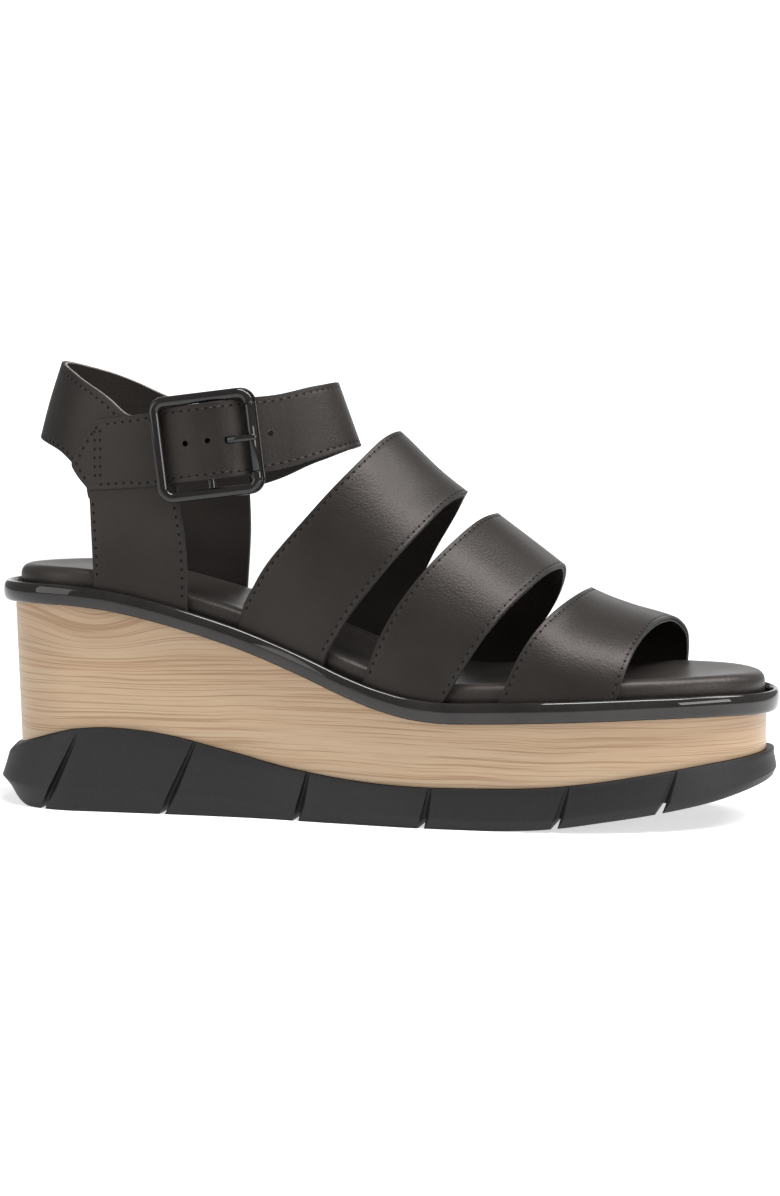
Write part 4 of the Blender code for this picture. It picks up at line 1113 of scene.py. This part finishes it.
# ---- the short strap that holds the buckle -------------------------------------------------------
LOOP_RADIUS = BAR_RADIUS + 0.2 + OUTER_PLY / 2
TAIL_LIFT = 1.8
SLOT_LENGTH, SLOT_WIDTH = (-3.6, 3.4), 3.4
TAIL_X = smooth([(-1, -42.6), (-0.5, -46.6), (-0.15, -48.2), (0.1, -46.8), (0.83, -38.9),
                 (1, -36.6)])
HALF_LOW = smooth([(-46, 10.6), (-34, 11.3), (-20, 12), (5, 12)])
HALF_TOP = smooth([(-46, 11.7), (-34, 12.1), (-20, 12), (5, 12)])


def loop_path():
    """(along, height) of the strap's middle: forward on the quarter, over the bar and back."""
    path = [(a, TAIL_LIFT) for a in np.linspace(-30, -13, 26)]
    path += [(-11.8, 1.83), (-10.5, 1.9), (-9.2, 2.02), (-8, 2.2), (-6.8, 2.5), (-5.5, 2.9),
             (-4.2, 3.35), (-3, 3.8), (-2.1, 4.05), (-1.2, BAR_HEIGHT + LOOP_RADIUS - 0.12)]
    for step in range(17):
        turn = math.pi * (0.5 - step / 16)
        path.append((LOOP_RADIUS * math.cos(turn), BAR_HEIGHT + LOOP_RADIUS * math.sin(turn)))
    return path + [(-2.5, 0.72), (-5.0, 0.75), (-7.8, 0.8)]


def tail_place(along, ups, inset=0.0):
    """A place on the strap over the quarter; ups runs from -1 to 1 between its edges."""
    half = np.where(ups < 0, HALF_LOW(along), HALF_TOP(along)) - inset
    return on_strap(along, ups * half, TAIL_LIFT + 0 * ups)


def make_buckle_strap():
    columns = 41
    ups = 2 * column_shares(columns) - 1
    points = []
    for share in np.linspace(1, 0.04, 26):
        along = -30 + (TAIL_X(ups) + 30) * share
        points.append(tail_place(along, ups))
    for along, height in loop_path():
        half = np.where(ups < 0, HALF_LOW(along), HALF_TOP(along))
        points.append(on_strap(along + 0 * ups, ups * half, height + 0 * ups))
    faces = grid_faces(len(points), columns)
    points = np.array(points).reshape(-1, 3)
    lines = []
    for side in (-1, 1):
        along = np.linspace(-36.0 if side > 0 else -41.0, -13.0, 40)
        lines.append(tail_place(along, side + 0 * along, NARROW_INSET))
    ups_line = np.linspace(-0.8, 0.8, 30)
    lines.append(tail_place(TAIL_X(ups_line) + NARROW_INSET, ups_line))
    for place in (-39.4, -37.3):
        ups_line = np.linspace(-0.82, 0.8, 20)
        lines.append(tail_place(place + 11.5 * ups_line * math.tan(BUCKLE_PITCH), ups_line))
    normals, _ = sheet_normals(points, faces)
    obj = outer_ply("buckle_strap_leather", points, normals, faces, lines, -OUTER_PLY / 2,
                    ["buckle_strap"])
    outline = [local(SLOT_LENGTH[0], s * SLOT_WIDTH / 2, 2.1) for s in (-1, 1)]
    outline += [local(SLOT_LENGTH[1], s * SLOT_WIDTH / 2, 2.1) for s in (1, -1)]
    cut(obj, [cutter("slot_tool", *prism(outline, OUT, 9.0))])
    stitches("buckle_strap_stitches", obj, [line + OUT * 1.5 for line in lines])


# ---- the holed ankle strap -----------------------------------------------------------------------
ANKLE_LIFT = smooth([(-20, 2.55), (-15.2, 2.6), (-12, 2.75), (-8, 3.6), (-3, 4.95), (0, 5.35),
                     (3.4, 5.7), (6.6, 4.9), (10, 3.2), (13, 2.4), (15.2, 2.1), (22, 1.0),
                     (32, 0.3)])
TIP_ALONG = -16.4
TOP_EXTRA = 1.0              # how much wider the strap is at its top edge in the buckle
ANKLE_TOP = ((25, 140.6), (0, 141.9), (-25, 141.4), (-51, 138.8), (-74, 133.0), (-90, 128.6),
             (-104, 124.6))
ANKLE_LOW = ((25, 118.6), (0, 120.6), (-25, 119.6), (-51, 115.3), (-74, 108.2), (-90, 103.9),
             (-104, 100.4))
ANKLE_END_ANGLE = -104
ANKLE_LOW_LIFT, ANKLE_END_LIFT = 0.3, 1.4
ANKLE_CLIMB_START, ANKLE_CLIMB = 8.0, 0.004


def ankle_place(along, up):
    """(angle, z, lift) of the straight part in the buckle; up runs from -1 to 1."""
    pull = np.clip((-14.0 - along) / 3.5, 0, 1)
    half = ANKLE_WIDTH / 2 * (1 - 0.35 * pull**2)
    climb = ANKLE_CLIMB * np.clip(along - ANKLE_CLIMB_START, 0, None)**2
    extra = TOP_EXTRA * (1 + up) / 2 * (1 - ease((along - 10.0) / 14.0))
    angle, z = buckle_angle_z(along, half * up + extra, climb)
    return angle, z, ANKLE_LIFT(along) + 0 * z


def ankle_grid(ups):
    """Rows of the strap's inner face at given places across it, from its tip to its inner end."""
    straight = np.concatenate([np.linspace(TIP_ALONG, -13.5, 10), np.linspace(-12.8, 24, 62)])
    rows = [lifted(*ankle_place(along + 0 * ups, ups)) for along in straight]
    start, _, first_lift = ankle_place(24.0 + 0 * ups, ups)
    end_angle, end_z, _ = ankle_place(24.0 + np.array([0.0, 0.0]), np.array([-1.0, 1.0]))
    low = smooth([(-end_angle[0], end_z[0])] + [(-a, z) for a, z in ANKLE_LOW])
    top = smooth([(-end_angle[1], end_z[1])] + [(-a, z) for a, z in ANKLE_TOP])
    across = (ups + 1) / 2
    for share in np.linspace(0, 1, 150)[1:]:
        angle = start + (ANKLE_END_ANGLE - start) * share
        z = between(low(-angle), top(-angle), across)
        fade = np.clip(share / 0.25, 0, 1)
        seat = ease((-angle - 58) / 14)
        lift = between(first_lift, ANKLE_LOW_LIFT, fade) + (ANKLE_END_LIFT - ANKLE_LOW_LIFT) * seat
        rows.append(lifted(angle, z, lift))
    return np.array(rows)


def hole_tools():
    tools = []
    for number, along in enumerate(HOLE_PLACES):
        slotted = along == PRONG_HOLE
        reach, wide = (SLOT_REACH, SLOT_HALF) if slotted else (0.0, HOLE_RADIUS)
        centre = on_strap(along, HOLE_RISE * (not slotted), float(ANKLE_LIFT(along)) + 1.0)
        outline = []
        for cosine, sine in circle(HOLE_SIDES):
            shift = math.copysign(reach, cosine) + HOLE_RADIUS * cosine
            outline.append(centre + ALONG * shift + UP * wide * sine)
        tools.append(cutter(f"hole_{number}", *prism(outline, OUT, HOLE_TOOL_LENGTH)))
    return tools


def make_ankle_strap():
    columns = 35
    ups = 2 * column_shares(columns) - 1
    grid = ankle_grid(ups)
    faces = grid_faces(len(grid), columns)
    points = grid.reshape(-1, 3)
    inset = 2 * NARROW_INSET / ANKLE_WIDTH
    lines = [ankle_grid(np.array([side * (1 - inset)]))[6:, 0] for side in (-1, 1)]
    normals, _ = sheet_normals(points, faces)
    shaped = undulate(points, normals, 25.0, 0.3, 51.0)
    base = LINING_PLY + PLY_GAP
    outer = outer_ply("ankle_strap_outer", shaped, normals, faces, lines, base, ["ankle_strap"])
    cut(outer, hole_tools())
    solid, shell, rims = thicken(shaped, faces, 0.0, LINING_PLY)
    lining = new_piece("ankle_strap_inner", solid, shell, [LINING, EDGE],
                       replaces=["ankle_strap_lining"], slot="lining_leather", rims=rims)
    cut(lining, hole_tools())
    stitches("ankle_stitches", outer, lift_lines(points, normals, lines, base + OUTER_PLY + 0.3))


# ---- the buckle ----------------------------------------------------------------------------------
def rounded_outline(near, far, low, top, corner, steps=10):
    """(along, up) round a rectangle with round corners, starting after the far upper corner."""
    path = []
    for across, up, first in ((far, top, 0), (near, top, 90), (near, low, 180), (far, low, 270)):
        middle_x = across - math.copysign(corner, across)
        middle_y = up - math.copysign(corner, up)
        path += [(middle_x + corner * a, middle_y + corner * b)
                 for a, b in arc(first, first + 90, steps)]
    return path


def make_buckle():
    shoulder = ROLLER_LENGTH / 2 + 0.25
    bent = rounded_outline(-LEFT_BAR, ROLLER_REACH, -LOW_RAIL, TOP_RAIL, 3.4)
    path = [(ROLLER_REACH, shoulder)] + bent + [(ROLLER_REACH, -shoulder)]
    path = [local(a, u, END_BAR_HEIGHT) for a, u in path]
    rails = tube(path, [1.75] * len(path), sides=24, axis=OUT, squareness=0.8)
    outside = ROLLER_REACH + ROLLER_RADIUS + 0.25 + 0.5
    rim_line = rounded_outline(-LEFT_BAR - 1.35, outside, -LOW_RAIL - 1.3, TOP_RAIL + 1.3, 4.7)
    rim_line = [local(a, u, END_BAR_HEIGHT - 0.3) for a, u in rim_line]
    rim = tube(rim_line, [0.42] * len(rim_line), sides=14, axis=OUT, closed=True)
    ends = [local(0, u, BAR_HEIGHT) for u in (-LOW_RAIL - 0.4, TOP_RAIL + 0.4)]
    bar = tube(ends, [BAR_RADIUS] * 2, sides=20, axis=ALONG)
    ends = [local(ROLLER_REACH, side * (shoulder + 0.6), END_BAR_HEIGHT) for side in (-1, 1)]
    pin = tube(ends, [0.7] * 2, sides=16, axis=ALONG)
    shapes = [rails, rim, bar, pin]
    for up in (TOP_RAIL, -LOW_RAIL):
        outline = [local(a, up, h) for a, h in
                   ((-2.4, END_BAR_HEIGHT), (-1.8, BAR_HEIGHT - 1.1), (-0.9, BAR_HEIGHT - 1.6),
                    (0.9, BAR_HEIGHT - 1.6), (1.8, BAR_HEIGHT - 1.1), (2.4, END_BAR_HEIGHT))]
        shapes.append(prism(outline, UP, 2.4))
    points, faces = merge(shapes)
    new_piece("buckle_frame_bar", points, faces, [ENAMEL], replaces=["buckle_frame"],
              slot="buckle_enamel")
    make_roller()
    make_prong()


def make_roller():
    sides = 36
    points = []
    profile = ((0.9, -1), (ROLLER_RADIUS - 0.25, -1), (ROLLER_RADIUS - 0.08, -0.99),
               (ROLLER_RADIUS, -0.97), (ROLLER_RADIUS, 0.97), (ROLLER_RADIUS - 0.08, 0.99),
               (ROLLER_RADIUS - 0.25, 1), (0.9, 1))
    for radius, end in profile:
        for across, rise in circle(sides, 0):
            points.append(local(ROLLER_REACH + radius * across, end * ROLLER_LENGTH / 2,
                                END_BAR_HEIGHT + radius * rise))
    new_piece("roller_tube", points, wall_faces(len(profile), sides, True), [ENAMEL], body="roller",
              replaces=["buckle_roller"], slot="buckle_enamel")


def make_prong():
    thick = 1.2
    radius = BAR_RADIUS + 0.2 + thick / 2
    path = [(radius * a, BAR_HEIGHT + radius * b) for a, b in arc(20, -270, 24)]
    rest = END_BAR_HEIGHT + ROLLER_RADIUS + thick / 2 + 0.12
    rise = smooth([(2.5, 4.45), (4.3, 4.6), (5.5, 5.0), (6.7, 5.65), (8.1, 6.4), (9.8, 6.95),
                   (12.5, rest - 0.06), (ROLLER_REACH, rest), (ROLLER_REACH + 1.5, rest - 0.2)])
    reach = np.linspace(2.5, ROLLER_REACH + 1.5, 36)
    path += [(a, float(rise(a))) for a in reach]
    radii = [thick / 2] * (len(path) - 3) + [thick * 0.47, thick * 0.4, thick * 0.24]
    points, faces = tube([local(a, 0, h) for a, h in path], radii, sides=20, flat=2.1 / thick,
                         axis=UP, squareness=0.8)
    new_piece("prong_bar", points, faces, [ENAMEL], body="prong", replaces=["buckle_prong"],
              slot="buckle_enamel", smooth_angle=60)


# ---- studio --------------------------------------------------------------------------------------
def glowing(name, glow, base):
    """A white card: its own glow, and how much light it sends back."""
    return nodes_of(name, {"Base Color": (base, base, base, 1), "Roughness": 0.9,
                           "Specular IOR Level": 0.0, "Emission Color": (1, 1, 1, 1),
                           "Emission Strength": glow})[0]


def card(name, corners, made):
    mesh = bpy.data.meshes.new(name)
    mesh.from_pydata(corners, [], [(0, 1, 2, 3)])
    mesh.materials.append(made)
    return linked(name, mesh)


def make_studio():
    wide, deep, tall = 2.0, 2.0, 0.9
    corners = [(-wide, -deep, 0), (wide, -deep, 0), (wide, deep, 0), (-wide, deep, 0)]
    floor = card("studio_floor", corners, glowing("pale_floor", 0.62, 0.6))
    corners = [(-1.4, deep, 0), (0.5, deep, 0), (0.5, deep, tall), (-1.4, deep, tall)]
    backdrop = card("backdrop", corners, glowing("pale_backdrop", 1.0, 0.5))
    world_light = bpy.data.worlds.new("studio_world")
    world_light.use_nodes = True
    background = world_light.node_tree.nodes["Background"]
    background.inputs["Color"].default_value = (1, 1, 1, 1)
    background.inputs["Strength"].default_value = 0.3
    bpy.context.scene.world = world_light
    area_light("key_softbox", (0.32, -0.24, 1.0), (0.32, 0, 0.07), (0.85, 0.32), 17.5)
    area_light("top_softbox", (0.75, 0.17, 0.85), (0, 0, 0.07), (0.5, 0.5), 8.5)
    area_light("front_softbox", (-1.0, -0.9, 0.5), (0, 0, 0.07), (1.1, 0.9), 7.5)
    area_light("side_softbox", (1.1, -0.45, 0.3), (0, 0, 0.08), (0.75, 0.25), 4.5)


def area_light(name, place, target, size, power):
    light = bpy.data.lights.new(name, "AREA")
    light.shape = "RECTANGLE"
    light.size, light.size_y = size
    light.energy = power
    obj = linked(name, light)
    obj.location = place
    obj.rotation_euler = (Vector(target) - Vector(place)).to_track_quat("-Z", "Y").to_euler()


def make_camera():
    target = Vector(world((136.75, -4.8, 70.8)))
    azimuth, elevation, distance = math.radians(12.0), math.asin(64.5 / 870.0), 0.870
    level = math.cos(elevation)
    back = Vector((math.sin(azimuth) * level, -math.cos(azimuth) * level, math.sin(elevation)))
    camera = bpy.data.cameras.new("camera")
    camera.sensor_fit = "AUTO"
    camera.sensor_width, camera.lens = 36.0, 78.561873
    obj = linked("camera", camera)
    obj.location = target + back * distance
    obj.rotation_mode = "QUATERNION"
    obj.rotation_quaternion = (-back).to_track_quat("-Z", "Y")
    bpy.context.scene.camera = obj
    bpy.context.scene.view_settings.view_transform = "Standard"


def dress_frame():
    """Finishes for the frame's own pieces that stay: filler, insole board and foam."""
    for name, made in (("bottom_filler", CORK), ("insole_board", BOARD), ("footbed_foam", FOAM)):
        mesh = frame["nodes"][name].data
        mesh.materials.clear()
        mesh.materials.append(made)


make_studio()
make_camera()
dress_frame()
make_outsole()
make_wedge()
make_welt()
make_footbed()
make_straps()
make_quarter()
make_buckle_strap()
make_ankle_strap()
make_buckle()
